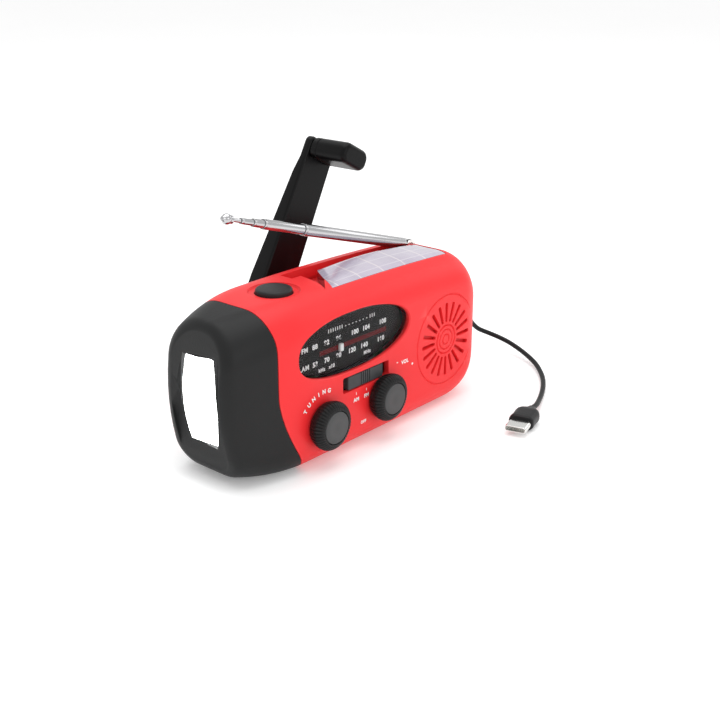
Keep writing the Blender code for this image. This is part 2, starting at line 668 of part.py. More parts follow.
def make_torch_button():
    surface = top_z(BUTTON_X)
    rest = surface + BUTTON_PROUD
    stem = 5.2 * MM
    profile = [(0, rest), (BUTTON_RADIUS - 0.8 * MM, rest - 0.1 * MM), (BUTTON_RADIUS - 0.2 * MM,
                                                                        rest - 0.4 * MM),
               (BUTTON_RADIUS, rest - 1.0 * MM), (BUTTON_RADIUS, rest - 3.4 * MM), (2 * MM,
                                                                                    rest - 3.4 * MM),
               (2 * MM, rest - 3.4 * MM - stem), (0, rest - 3.4 * MM - stem)]
    turned_object("torch_button", profile, (BUTTON_X, BUTTON_Y, 0), (0, 0, 1), CHARCOAL, 0.0, 0.5, 28)
    low = rest - 3.4 * MM - stem - BUTTON_TRAVEL - GAP
    box("button_switch", (BUTTON_X - 4 * MM, BUTTON_Y - 4 * MM, low - 4 * MM),
        (BUTTON_X + 4 * MM, BUTTON_Y + 3.4 * MM, low), BLACK)


# ---------------------------------------------------------------- solar panel and antenna

def make_solar_panel():
    """A thin plate that follows the casing's top."""
    low = top_z(PANEL_RIGHT_X) - PANEL_THICKNESS
    panel = add_object("solar_panel", prism_mesh("solar_panel", panel_outline(0), low, ABOVE, "XY"),
                       (0.30, 0.26, 0.34), 0.2, 0.2)
    combine(panel, case_mesh("panel_top", 0.1 * MM), "INTERSECT")


def make_antenna():
    frame = joint_frame("antenna_axis", (ANTENNA_X, ANTENNA_Y, ANTENNA_Z), "Y", ANTENNA_ANGLE)
    start = 3.2 * MM
    end = ANTENNA_TUBE_LENGTH
    radius = ANTENNA_RADIUS
    for k in range(4):
        bore = radius - ANTENNA_TUBE_WALL
        if k:
            end += ANTENNA_SHOWN[k - 1]
            start = end - ANTENNA_TUBE_LENGTH + ANTENNA_ROOT + k * ANTENNA_INNER_STEP
        profile = [(bore, end), (radius, end), (radius, start), (bore, start)]
        tube = turned_object(f"antenna_tube_{k + 1}", profile, (0, 0, 0), (-1, 0, 0), STEEL, 1.0, 0.12, 12)
        tube.parent = frame
        if k == 0:
            root_knuckle(tube)
        radius = bore - (ANTENNA_STEP - ANTENNA_TUBE_WALL)
    end += ANTENNA_SHOWN[3]
    tip = end + ANTENNA_TIP_LENGTH
    start = end - ANTENNA_TUBE_LENGTH + ANTENNA_ROOT + 4 * ANTENNA_INNER_STEP
    profile = [(0, tip), (ANTENNA_TIP_RADIUS * 0.6, tip - 0.3 * MM), (ANTENNA_TIP_RADIUS, tip - 1.2 * MM),
               (ANTENNA_TIP_RADIUS, tip - 3.4 * MM), (ANTENNA_TIP_RADIUS * 0.5, end), (radius, end),
               (radius, start), (0, start)]
    tip_rod = turned_object("antenna_rod", profile, (0, 0, 0), (-1, 0, 0), STEEL, 1.0, 0.12, 12)
    tip_rod.parent = frame
    make_antenna_bracket()


def root_knuckle(tube):
    """A flat tongue on the first tube's root, with the pin's hole."""
    combine(tube, rod_mesh("tongue", (0, -1.6 * MM, 0), (0, 1, 0), 3.2 * MM, 2.1 * MM, sides=16), "UNION")
    combine(tube, box_mesh("neck", (-6 * MM, -1.6 * MM, -1.4 * MM), (0, 1.6 * MM, 1.4 * MM)), "UNION")
    combine(tube, rod_mesh("pin_hole", (0, -5 * MM, 0), (0, 1, 0), 10 * MM, 1.0 * MM, sides=12))


def make_antenna_bracket():
    """Two ears on a foot in the channel, and the pin across them."""
    floor = top_z(0) - CHANNEL_DEPTH + GAP
    reach = CHANNEL_WIDTH / 2 - GAP
    outline = [(ANTENNA_X - 2.4 * MM, floor), (ANTENNA_X + 2.9 * MM, floor), (ANTENNA_X + 2.4 * MM,
                                                                              ANTENNA_Z + 0.9 * MM),
               (ANTENNA_X + 1.0 * MM, ANTENNA_Z + 1.9 * MM), (ANTENNA_X - 1.0 * MM, ANTENNA_Z + 1.9 * MM),
               (ANTENNA_X - 2.4 * MM, ANTENNA_Z + 0.9 * MM)]
    bracket = add_object("antenna_bracket", prism_mesh("antenna_bracket", outline, ANTENNA_Y - reach,
                                                       ANTENNA_Y + reach),
                         STEEL, 1.0, 0.3)
    combine(bracket, box_mesh("fork", (ANTENNA_X - 4 * MM, ANTENNA_Y - 1.9 * MM, floor + 0.7 * MM),
                              (ANTENNA_X + 4 * MM, ANTENNA_Y + 1.9 * MM, ABOVE)))
    combine(bracket, rod_mesh("ear_hole", (ANTENNA_X, 0, ANTENNA_Z), (0, 1, 0), 15 * MM, 1.0 * MM,
                              sides=12))
    rod("antenna_pin", (ANTENNA_X, ANTENNA_Y - reach, ANTENNA_Z), (0, 1, 0), 2 * reach, 0.7 * MM, STEEL,
        1.0, 12)


# ---------------------------------------------------------------- dial, knobs and switch

def make_dial():
    front = FRONT_Y + DIAL_RECESS
    back = front + DIAL_WINDOW_THICKNESS
    add_object("dial_window", prism_mesh("dial_window", dial_outline(-GAP), front, back), BLACK, 0.0, 0.08)
    pointer_front = back + GAP
    plate_front = pointer_front + 1.3 * MM
    plate_back = plate_front + DIAL_PLATE_THICKNESS
    plate = add_object("dial_plate", prism_mesh("dial_plate", dial_outline(-GAP), plate_front, plate_back),
                       BLACK)
    combine(plate, box_mesh("track", (POINTER_LOW_X - 2 * MM, 0 - 30 * MM, POINTER_Z - 0.7 * MM),
                            (POINTER_HIGH_X + 2 * MM, 0, POINTER_Z + 0.7 * MM)))
    pointer = box("dial_pointer", (POINTER_X - 0.8 * MM, pointer_front, POINTER_Z - 1.3 * MM),
                  (POINTER_X + 0.8 * MM, plate_front - GAP, POINTER_Z + 1.3 * MM), WHITE)
    combine(pointer, box_mesh("pointer_neck", (POINTER_X - 0.5 * MM, pointer_front + 0.3 * MM,
                                               POINTER_Z - 0.4 * MM),
                              (POINTER_X + 0.5 * MM, plate_back + 1.5 * MM, POINTER_Z + 0.4 * MM)), "UNION")
    combine(pointer, box_mesh("pointer_shoe", (POINTER_X - 3 * MM, plate_back + GAP, POINTER_Z - 1.5 * MM),
                              (POINTER_X + 3 * MM, plate_back + 1.6 * MM, POINTER_Z + 1.5 * MM)), "UNION")


def knob_outline(x, z, radius, ribs):
    """A circle with grip ribs."""
    points = []
    for k in range(2 * ribs):
        angle = math.pi * k / ribs
        r = radius if k % 2 else radius - 0.5 * MM
        points.append((x + r * math.cos(angle), z + r * math.sin(angle)))
    return points


def make_knob(name, x, z, shaft_end):
    """A ribbed knob with a pressed-in face cap, on its shaft."""
    tip = FRONT_Y - KNOB_HEIGHT
    knob = add_object(f"{name}_knob", prism_mesh(f"{name}_knob", knob_outline(x, z, KNOB_RADIUS, KNOB_RIBS),
                                                 tip, FRONT_Y - GAP), CHARCOAL, 0.0, 0.6, (x, 0, z))
    combine(knob, rod_mesh("knob_shaft", (x, tip + 2.2 * MM, z), (0, 1, 0), shaft_end - tip - 2.2 * MM,
                           SHAFT_RADIUS, sides=16), "UNION")
    combine(knob, rod_mesh("cap_seat", (x, tip - 1 * MM, z), (0, 1, 0), 2.4 * MM, KNOB_CAP_RADIUS + GAP,
                           sides=28))
    cap = rod(f"{name}_knob_cap", (x, tip - 0.2 * MM, z), (0, 1, 0), 1.3 * MM, KNOB_CAP_RADIUS, MID_GREY,
              sides=28,
              origin=(x, 0, z))
    soften(cap, 0.35 * MM, 1)


def make_controls():
    body_front = INNER_FRONT_Y + 5.0 * MM
    board_front = -7.6 * MM
    make_knob("tuning", TUNING_X, TUNING_Z, body_front - GAP)
    make_knob("volume", VOLUME_X, VOLUME_Z, body_front - GAP)
    half = 7.5 * MM
    box("tuning_capacitor", (TUNING_X - half, body_front, TUNING_Z - 4.4 * MM),
        (TUNING_X + half, board_front - GAP, TUNING_Z + half), CREAM)
    rod("volume_pot", (VOLUME_X, body_front, VOLUME_Z), (0, 1, 0), board_front - GAP - body_front, 6.5 * MM,
        STEEL, 1.0, 16)
    slider_front = FRONT_Y + 0.2 * MM
    shoe_front = INNER_FRONT_Y + GAP
    shoe_back = shoe_front + 1.2 * MM
    slider = box("band_slider", (SWITCH_X - SLIDER_LENGTH / 2, slider_front,
                                 SWITCH_Z - SWITCH_SLOT_HEIGHT / 2 + GAP),
                 (SWITCH_X + SLIDER_LENGTH / 2, shoe_back, SWITCH_Z + SWITCH_SLOT_HEIGHT / 2 - GAP),
                 MID_GREY,
                 origin=(SWITCH_X, 0, SWITCH_Z))
    combine(slider, box_mesh("slider_shoe", (SWITCH_X - 11 * MM, shoe_front, SWITCH_Z - 3.4 * MM),
                             (SWITCH_X + 11 * MM, shoe_back, SWITCH_Z + 3.4 * MM)), "UNION")
    for k in range(5):
        x = SWITCH_X + (k - 2) * 1.3 * MM
        combine(slider, box_mesh("slider_rib", (x - 0.3 * MM, slider_front - 1 * MM, SWITCH_Z - 4 * MM),
                                 (x + 0.3 * MM, slider_front + 0.5 * MM, SWITCH_Z + 4 * MM)))
    box("band_switch", (SWITCH_X - 10 * MM, shoe_back + GAP, SWITCH_Z - 2.2 * MM),
        (SWITCH_X + 10 * MM, board_front - GAP, SWITCH_Z + 4 * MM), STEEL, 1.0)


# ---------------------------------------------------------------- loudspeaker, board, cell and aerial rod

def make_speaker():
    front = INNER_FRONT_Y + 0.7 * MM
    r = SPEAKER_RADIUS
    frame = [(r, -front), (r, -front - 1.2 * MM), (r * 0.62, -front - 6.0 * MM), (r * 0.62 - 0.8 * MM,
                                                                                  -front - 6.0 * MM),
             (r - 2.0 * MM, -front - 1.4 * MM), (r - 2.0 * MM, -front)]
    turned_object("speaker_frame", frame, (SPEAKER_X, 0, SPEAKER_Z), (0, -1, 0), BLACK, 0.6, 0.4, 24)
    cone = [(r - 2.4 * MM, -front - 0.3 * MM), (r - 2.6 * MM, -front - 0.8 * MM), (r * 0.25,
                                                                                   -front - 4.8 * MM),
            (0, -front - 4.8 * MM), (0, -front - 3.6 * MM), (r * 0.28, -front - 3.6 * MM)]
    turned_object("speaker_cone", cone, (SPEAKER_X, 0, SPEAKER_Z), (0, -1, 0), FERRITE, 0.0, 0.9, 20)
    rod("speaker_magnet", (SPEAKER_X, front + 6.0 * MM + GAP, SPEAKER_Z), (0, 1, 0),
        SPEAKER_DEPTH - 6.0 * MM - GAP,
        8.0 * MM, FERRITE, sides=20)


def make_electronics():
    box("main_board", (-38 * MM, -7.6 * MM, 11.2 * MM), (18 * MM, -6.0 * MM, 49.5 * MM), GREEN)
    rod("battery_cell", (-27 * MM, 8.6 * MM, 11 * MM), (1, 0, 0), 50 * MM, 7.0 * MM, (0.05, 0.2, 0.5),
        sides=20)
    rod("ferrite_rod", (-32 * MM, 14.8 * MM, 49.8 * MM), (1, 0, 0), 55 * MM, 2.0 * MM, FERRITE, sides=12)
    coil = [(2.9 * MM, 14 * MM), (2.9 * MM, 0), (2.0 * MM + GAP, 0), (2.0 * MM + GAP, 14 * MM)]
    turned_object("aerial_coil", [coil[3], coil[0], coil[1], coil[2]], (-26 * MM, 14.8 * MM, 49.8 * MM), (1, 0, 0),
                  COPPER, 0.6, 0.4, 12)
    socket_shell("usb_socket", SOCKET_Z, SOCKET_WIDTH, SOCKET_HEIGHT, SOCKET_DEPTH)
    socket_shell("charge_socket", CHARGE_Z, 8.4 * MM, 3.6 * MM, 6.0 * MM)


def socket_shell(name, z, width, height, depth):
    """A sheet-metal socket, open at the end of the casing."""
    mouth = CASE_HALF_LENGTH - 1.8 * MM
    shell = box(name, (mouth - depth, SOCKET_Y - width / 2, z - height / 2),
                (mouth, SOCKET_Y + width / 2, z + height / 2), STEEL, 1.0)
    wall = 0.5 * MM
    combine(shell, box_mesh("socket_mouth", (mouth - depth + wall, SOCKET_Y - width / 2 + wall,
                                             z - height / 2 + wall),
                            (mouth + 2 * MM, SOCKET_Y + width / 2 - wall, z + height / 2 - wall)))


# ---------------------------------------------------------------- crank and gears

FOLD_Y = ARM_FRONT_Y + ARM_ROOT_THICKNESS / 2
GRIP_Z = CRANK_REACH
ARM_END_Z = CRANK_REACH - GRIP_HEIGHT / 2 - 1.2 * MM


def make_crank():
    """Built upright about the hub's axis, then tilted with its empty."""
    frame = joint_frame("crank_axis", (CRANK_X, 0, CRANK_Z), "Y", CRANK_TILT)
    hub = rod("crank_hub", (0, REAR_Y + GAP, 0), (0, 1, 0), HUB_THICKNESS, HUB_RADIUS, BLACK, sides=32)
    hub.parent = frame
    combine(hub, rod_mesh("hub_shaft", (0, CRANK_GEAR_Y - 1 * MM, 0), (0, 1, 0),
                          REAR_Y + 2 * MM - CRANK_GEAR_Y + 1 * MM,
                          SHAFT_RADIUS, sides=24), "UNION")
    combine(hub, box_mesh("lug", (-LUG_WIDTH / 2, REAR_Y + 2 * MM, LUG_OFFSET - 3.3 * MM),
                          (LUG_WIDTH / 2, FOLD_Y, LUG_OFFSET + 3.3 * MM)), "UNION")
    combine(hub, rod_mesh("lug_end", (-LUG_WIDTH / 2, FOLD_Y, LUG_OFFSET), (1, 0, 0), LUG_WIDTH, 3.3 * MM,
                          sides=20), "UNION")
    combine(hub, rod_mesh("lug_hole", (-10 * MM, FOLD_Y, LUG_OFFSET), (1, 0, 0), 20 * MM,
                          FOLD_PIN_RADIUS + 0.1 * MM,
                          sides=12))
    crank_arm(frame)
    pin = rod("fold_pin", (-ARM_ROOT_WIDTH / 2 + 0.6 * MM, FOLD_Y, LUG_OFFSET), (1, 0, 0),
              ARM_ROOT_WIDTH - 1.2 * MM,
              FOLD_PIN_RADIUS, STEEL, 1.0, 12)
    crank_grip(frame)
    grip_pin = rod("grip_pin", (0, ARM_FRONT_Y - 0.1 * MM, GRIP_Z), (0, -1, 0), 12 * MM, GRIP_PIN_RADIUS,
                   STEEL, 1.0, 16)
    pin.parent = frame
    grip_pin.parent = frame


def crank_arm(frame):
    """A tapered arm: forked round the hub's lug, thin behind the grip."""
    root, top = ARM_ROOT_WIDTH / 2, ARM_TOP_WIDTH / 2
    tab_top = GRIP_Z + GRIP_HEIGHT / 2
    face = [(-root, LUG_OFFSET), (-root + 1.6 * MM, LUG_OFFSET - 3.5 * MM), (root - 1.6 * MM,
                                                                             LUG_OFFSET - 3.5 * MM),
            (root, LUG_OFFSET), (top, tab_top - 2 * MM), (top - 2 * MM, tab_top), (-top + 2 * MM, tab_top),
            (-top, tab_top - 2 * MM)]
    arm = add_object("crank_arm", prism_mesh("crank_arm", face, ARM_FRONT_Y,
                                             FOLD_Y + ARM_ROOT_THICKNESS / 2), BLACK,
                     0.0, 0.5)
    arm.parent = frame
    back = FOLD_Y + ARM_ROOT_THICKNESS / 2
    radius = ARM_ROOT_THICKNESS / 2
    side = [(back, LUG_OFFSET + 14 * MM), (ARM_FRONT_Y + ARM_TOP_THICKNESS + 1.2 * MM, ARM_END_Z - 6 * MM),
             (ARM_FRONT_Y + ARM_TOP_THICKNESS, ARM_END_Z), (ARM_FRONT_Y + ARM_TOP_THICKNESS,
                                                            tab_top + 1 * MM),
             (ARM_FRONT_Y, tab_top + 1 * MM)]
    for k in range(9):
        angle = math.pi * k / 8
        side.append((FOLD_Y - radius * math.cos(angle), LUG_OFFSET - radius * math.sin(angle)))
    combine(arm, prism_mesh("arm_side", side, -20 * MM, 20 * MM, "YZ"), "INTERSECT")
    combine(arm, box_mesh("fork_slot", (-LUG_WIDTH / 2 - GAP, 20 * MM, -5 * MM),
                          (LUG_WIDTH / 2 + GAP, 40 * MM, LUG_OFFSET + 4.0 * MM)))
    combine(arm, rod_mesh("fold_hole", (-20 * MM, FOLD_Y, LUG_OFFSET), (1, 0, 0), 40 * MM,
                          FOLD_PIN_RADIUS + 0.1 * MM,
                          sides=12))


def crank_grip(frame):
    outline = rounded_box_outline(0, GRIP_Z, GRIP_WIDTH, GRIP_HEIGHT, 2.6 * MM, 3)
    grip = add_object("crank_grip", prism_mesh("crank_grip", outline, GRIP_TIP_Y, ARM_FRONT_Y - GAP), BLACK,
                      0.0, 0.5,
                      (0, 0, 0))
    grip.parent = frame
    soften(grip, 1.2 * MM, 2, 60)
    combine(grip, rod_mesh("grip_bore", (0, ARM_FRONT_Y + 2 * MM, GRIP_Z), (0, -1, 0), 14.6 * MM,
                           GRIP_PIN_RADIUS + 0.1 * MM, sides=16))


def gear_outline(x, z, teeth, first_tooth):
    """Straight-sided teeth a little slim, so that they turn freely in mesh."""
    pitch_radius = GEAR_MODULE * teeth / 2
    step = 2 * math.pi / teeth
    flanks = ((pitch_radius - 1.1 * GEAR_MODULE, 0.27), (pitch_radius + 0.8 * GEAR_MODULE, 0.10))
    points = []
    for k in range(teeth):
        middle = first_tooth + k * step
        for radius, share in ((flanks[0][0], -flanks[0][1]), (flanks[1][0], -flanks[1][1]),
                              (flanks[1][0], flanks[1][1]), (flanks[0][0], flanks[0][1])):
            angle = middle + share * step
            points.append((x + radius * math.cos(angle), z + radius * math.sin(angle)))
    return points


def make_gears():
    """Crank gear, idler pair and dynamo pinion, in line to the right of the hub."""
    gear = add_object("crank_gear", prism_mesh("crank_gear", gear_outline(CRANK_X, CRANK_Z, CRANK_TEETH,
                                                                          0.0),
                                               CRANK_GEAR_Y, CRANK_GEAR_Y + GEAR_WIDTH), CREAM, 0.0, 0.5,
                      (CRANK_X, 0, CRANK_Z))
    combine(gear, rod_mesh("gear_bore", (CRANK_X, 0, CRANK_Z), (0, 1, 0), 30 * MM, SHAFT_RADIUS + 0.1 * MM,
                           sides=24))
    idler_x = CRANK_X + GEAR_MODULE * (CRANK_TEETH + IDLER_PINION_TEETH) / 2
    half_step = math.pi / IDLER_PINION_TEETH
    idler = add_object("idler_gear", prism_mesh("idler_gear", gear_outline(idler_x, CRANK_Z, IDLER_TEETH,
                                                                           0.0),
                                                IDLER_GEAR_Y, IDLER_GEAR_Y + GEAR_WIDTH), CREAM, 0.0, 0.5,
                       (idler_x, 0, CRANK_Z))
    pinion = gear_outline(idler_x, CRANK_Z, IDLER_PINION_TEETH, math.pi + half_step)
    combine(idler, prism_mesh("idler_pinion", pinion, IDLER_GEAR_Y + 1 * MM, CRANK_GEAR_Y + GEAR_WIDTH),
            "UNION")
    combine(idler, rod_mesh("idler_bore", (idler_x, 0, CRANK_Z), (0, 1, 0), 30 * MM, 1.0 * MM + 0.1 * MM,
                            sides=12))
    rod("idler_axle", (idler_x, IDLER_GEAR_Y - 4 * MM, CRANK_Z), (0, 1, 0),
        INNER_REAR_Y - GAP - IDLER_GEAR_Y + 4 * MM,
        1.0 * MM, STEEL, 1.0, 12)
    rotor_x = idler_x + GEAR_MODULE * (IDLER_TEETH + ROTOR_TEETH) / 2
    pinion = gear_outline(rotor_x, CRANK_Z, ROTOR_TEETH, math.pi + math.pi / ROTOR_TEETH)
    rotor = add_object("dynamo_rotor", prism_mesh("dynamo_rotor", pinion, IDLER_GEAR_Y,
                                                  IDLER_GEAR_Y + GEAR_WIDTH),
                       STEEL, 1.0, 0.4, (rotor_x, 0, CRANK_Z))
    case_back = IDLER_GEAR_Y - 1.0 * MM
    combine(rotor, rod_mesh("rotor_shaft", (rotor_x, case_back - 2.4 * MM, CRANK_Z), (0, 1, 0), 5 * MM,
                            1.0 * MM,
                            sides=12), "UNION")
    combine(rotor, rod_mesh("rotor_disc", (rotor_x, case_back - 5.4 * MM, CRANK_Z), (0, 1, 0), 3.2 * MM,
                            8.5 * MM,
                            sides=24), "UNION")
    case = rod("dynamo_case", (rotor_x, case_back - DYNAMO_DEPTH, CRANK_Z), (0, 1, 0), DYNAMO_DEPTH,
               DYNAMO_RADIUS, STEEL,
               1.0, 24)
    combine(case, rod_mesh("case_hollow", (rotor_x, case_back - 6.2 * MM, CRANK_Z), (0, 1, 0), 4.8 * MM,
                           9.4 * MM,
                           sides=24))
    combine(case, rod_mesh("case_hole", (rotor_x, case_back - 3 * MM, CRANK_Z), (0, 1, 0), 6 * MM, 1.4 * MM,
                           sides=12))


# ---------------------------------------------------------------- lead and plugs

def make_plugs():
    """The plug in the socket, the free lead, and the small plug on its far end."""
    y, z = SOCKET_Y, SOCKET_Z
    body_x = CASE_HALF_LENGTH + GAP
    end_x = body_x + PLUG_LENGTH
    plug = box("lead_plug", (body_x, y - PLUG_WIDTH / 2, z - PLUG_HEIGHT / 2),
               (end_x, y + PLUG_WIDTH / 2, z + PLUG_HEIGHT / 2), BLACK)
    soften(plug, 1.4 * MM, 2)
    tongue = SOCKET_WIDTH / 2 - 1.0 * MM
    combine(plug, box_mesh("plug_tongue", (CASE_HALF_LENGTH - SOCKET_DEPTH, y - tongue, z - 2.2 * MM),
                           (body_x + 2 * MM, y + tongue, z + 2.2 * MM)), "UNION")
    combine(plug, rod_mesh("relief", (end_x - 1 * MM, y, z), (1, 0, 0), RELIEF_LENGTH, 2.2 * MM, 1.4 * MM,
                           16), "UNION")
    make_lead()
    last = CORD_ROUTE[-1]
    before = CORD_ROUTE[-2]
    heading = math.atan2(last.y - before.y, last.x - before.x)
    start = Vector((last.x, last.y, END_PLUG_HEIGHT / 2)) + Vector((math.cos(heading), math.sin(heading),
                                                                    0)) * GAP
    frame = joint_frame("lead_end", start, "Z", heading)
    end_plug = box("lead_end_plug", (0, -END_PLUG_WIDTH / 2, -END_PLUG_HEIGHT / 2),
                   (END_PLUG_LENGTH, END_PLUG_WIDTH / 2, END_PLUG_HEIGHT / 2), BLACK)
    end_plug.parent = frame
    soften(end_plug, 1.2 * MM, 2)
    combine(end_plug, box_mesh("end_tongue", (END_PLUG_LENGTH - 1 * MM, -4.1 * MM, -1.25 * MM),
                               (END_PLUG_LENGTH + 6.5 * MM, 4.1 * MM, 1.25 * MM)), "UNION")


def smooth_route(points, spacing):
    """Points at an even spacing on a smooth curve through the route."""
    route = list(points)
    ends = [route[0] * 2 - route[1]] + route + [route[-1] * 2 - route[-2]]
    fine = []
    for a, b, c, d in zip(ends, ends[1:], ends[2:], ends[3:]):
        for k in range(20):
            t = k / 20
            fine.append(0.5 * (2 * b + (c - a) * t + (2 * a - 5 * b + 4 * c - d) * t * t
                               + (3 * b - 3 * c + d - a) * t ** 3))
    fine.append(route[-1])
    lengths = [0.0]
    for a, b in zip(fine, fine[1:]):
        lengths.append(lengths[-1] + (b - a).length)
    count = max(2, round(lengths[-1] / spacing))
    even, k = [], 0
    for i in range(count + 1):
        target = lengths[-1] * i / count
        while k < len(lengths) - 2 and lengths[k + 1] < target:
            k += 1
        share = (target - lengths[k]) / max(lengths[k + 1] - lengths[k], 1e-9)
        even.append(fine[k].lerp(fine[k + 1], min(1.0, share)))
    return even


def make_lead():
    curve = bpy.data.curves.new("lead_cord", "CURVE")
    curve.dimensions = "3D"
    curve.bevel_depth = CORD_DIAMETER / 2
    curve.bevel_resolution = 2
    curve.use_fill_caps = True
    points = smooth_route(CORD_ROUTE, 2.5 * CORD_DIAMETER)
    spline = curve.splines.new("POLY")
    spline.points.add(len(points) - 1)
    for point, place in zip(spline.points, points):
        point.co = (*place, 1.0)
    lead = bpy.data.objects.new("lead_cord", curve)
    RADIO.objects.link(lead)
    material = bpy.data.materials.new("lead_cord")
    material.use_nodes = True
    material.node_tree.nodes["Principled BSDF"].inputs["Base Color"].default_value = (*BLACK, 1.0)
    curve.materials.append(material)


make_front_shell()
make_rear_shell()
make_torch_cap()
make_screws()
make_torch()
make_torch_button()
make_solar_panel()
make_antenna()
make_dial()
make_controls()
make_speaker()
make_electronics()
make_crank()
make_gears()
make_plugs()
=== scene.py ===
"""Hand-crank emergency radio with its short charging lead, made to be looked at from all round.

Everything is in metres. +X runs from the torch end to the loudspeaker end, -Y is the front.
"""

import math

import bmesh
import bpy
from mathutils import Matrix, Vector


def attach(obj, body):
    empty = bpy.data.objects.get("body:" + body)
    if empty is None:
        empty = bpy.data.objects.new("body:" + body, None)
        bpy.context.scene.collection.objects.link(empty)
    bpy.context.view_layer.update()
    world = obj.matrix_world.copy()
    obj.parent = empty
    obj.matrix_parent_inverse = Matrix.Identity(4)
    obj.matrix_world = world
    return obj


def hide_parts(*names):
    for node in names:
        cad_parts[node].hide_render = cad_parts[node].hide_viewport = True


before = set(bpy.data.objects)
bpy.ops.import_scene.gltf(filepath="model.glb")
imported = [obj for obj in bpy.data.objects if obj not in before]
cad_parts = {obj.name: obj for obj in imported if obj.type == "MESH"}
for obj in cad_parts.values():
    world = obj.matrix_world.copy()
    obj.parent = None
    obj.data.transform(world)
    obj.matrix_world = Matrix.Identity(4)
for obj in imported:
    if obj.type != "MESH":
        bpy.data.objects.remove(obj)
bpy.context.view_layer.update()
MM = 0.001


# ---------------------------------------------------------------- camera, floor and lights
# A plain studio: one camera, a pale matt floor, a large soft light above and two smaller ones.
# The floor is only something for the radio to stand on.

def added(name, data=None):
    """A new object in the scene."""
    item = bpy.data.objects.new(name, data)
    bpy.context.scene.collection.objects.link(item)
    return item


camera_data = bpy.data.cameras.new("camera")
camera_data.lens = 56.06
camera_data.sensor_width = 36.0
camera_data.clip_start = 0.01
camera_data.clip_end = 20.0
camera = added("camera", camera_data)
camera.matrix_world = Matrix.Translation((-0.285656, -0.260440, 0.174057)) @ Matrix((
    (0.656, 0.2725, -0.704), (-0.755, 0.2368, -0.612), (0.0, 0.9326, 0.361))).to_4x4()
bpy.context.scene.camera = camera
bpy.context.scene.view_settings.view_transform = "Standard"


def feed(socket, source):
    """Joins a node's socket to another socket, or sets it to a plain value."""
    if isinstance(source, bpy.types.NodeSocket):
        socket.id_data.links.new(source, socket)
    else:
        socket.default_value = source


def new_material(name):
    """A node material: its Principled shader, and shortcuts that add a node and join one to the shader."""
    material = bpy.data.materials.new(name)
    material.use_nodes = True
    tree = material.node_tree
    shader = tree.nodes["Principled BSDF"]

    def node(kind, values=None, **links):
        made = tree.nodes.new(kind)
        for key, value in (values or {}).items():
            if key in made.inputs:
                made.inputs[key].default_value = value
            else:
                setattr(made, key, value)
        for key, source in links.items():
            feed(made.inputs[key.replace("_", " ")], source)
        return made

    def join(source, target):
        tree.links.new(source, shader.inputs[target])

    return material, shader, node, join


def reckon(node, deed, *terms):
    """A Math node working on numbers or other nodes' sockets."""
    made = node("ShaderNodeMath", {"operation": deed})
    for socket, term in zip(made.inputs, terms):
        feed(socket, term)
    return made


def blend(node, share, first, second):
    """A Mix node between two colours, either of which may be another node's."""
    tints = [tint if isinstance(tint, bpy.types.NodeSocket) else (*tint, 1.0) for tint in (first, second)]
    return node("ShaderNodeMix", {"data_type": "RGBA"}, Factor=share, A=tints[0], B=tints[1])


def roughen(node, join, height, strength, depth):
    """Fine relief in the surface, its depth in metres."""
    join(node("ShaderNodeBump", {"Strength": strength, "Distance": depth}, Height=height).outputs["Normal"],
         "Normal")


def vary_gloss(node, join, pattern, least, most):
    """Roughness that follows a pattern between two values."""
    join(node("ShaderNodeMapRange", {"To Min": least, "To Max": most}, Value=pattern).outputs["Result"],
         "Roughness")


floor_mesh = bpy.data.meshes.new("floor")
FLOOR_REACH, FLOOR_DROP = 8, -0.0002
floor_corners = [(u * FLOOR_REACH, v * FLOOR_REACH, FLOOR_DROP)
                 for u, v in ((-1, -1), (1, -1), (1, 1), (-1, 1))]
floor_mesh.from_pydata(floor_corners, [], [(0, 1, 2, 3)])
floor = added("floor", floor_mesh)
floor_paint, shader, node, join = new_material("floor_paint")
speckle = node("ShaderNodeTexNoise", {"Scale": 90.0, "Detail": 4.0})
tone = blend(node, speckle.outputs["Fac"], (0.90, 0.90, 0.90), (0.93, 0.93, 0.93))
join(tone.outputs["Result"], "Base Color")
shader.inputs["Emission Color"].default_value = (1.0, 1.0, 1.0, 1.0)
shader.inputs["Emission Strength"].default_value = 0.17
shader.inputs["Roughness"].default_value = 0.9
floor_mesh.materials.append(floor_paint)

world = bpy.data.worlds.new("studio")
world.use_nodes = True
world.node_tree.nodes["Background"].inputs["Color"].default_value = (1.0, 1.0, 1.0, 1.0)
world.node_tree.nodes["Background"].inputs["Strength"].default_value = 0.86
bpy.context.scene.world = world


def soft_light(name, place, target, size, power, colour=(1.0, 1.0, 1.0)):
    light = bpy.data.lights.new(name, "AREA")
    light.shape = "RECTANGLE"
    light.size = size[0]
    light.size_y = size[1]
    light.energy = power
    light.color = colour
    holder = added(name, light)
    holder.location = place
    holder.rotation_euler = (Vector(target) - Vector(place)).to_track_quat("-Z", "Y").to_euler()


soft_light("overhead", (0.05, 0.05, 0.9), (0, 0, 0.03), (0.9, 0.9), 4.6)
soft_light("front_fill", (-0.2, -0.9, 0.45), (0, 0, 0.03), (0.7, 0.4), 1.2)
soft_light("side_fill", (0.9, -0.3, 0.5), (0, 0, 0.03), (0.5, 0.4), 0.8)


# ---------------------------------------------------------------- charging lead
# A short thin lead of soft black PVC over twisted copper, springy enough to stand in a curve.
# Its plug is moulded on and pushed into the socket; the other end has a smaller moulded plug.

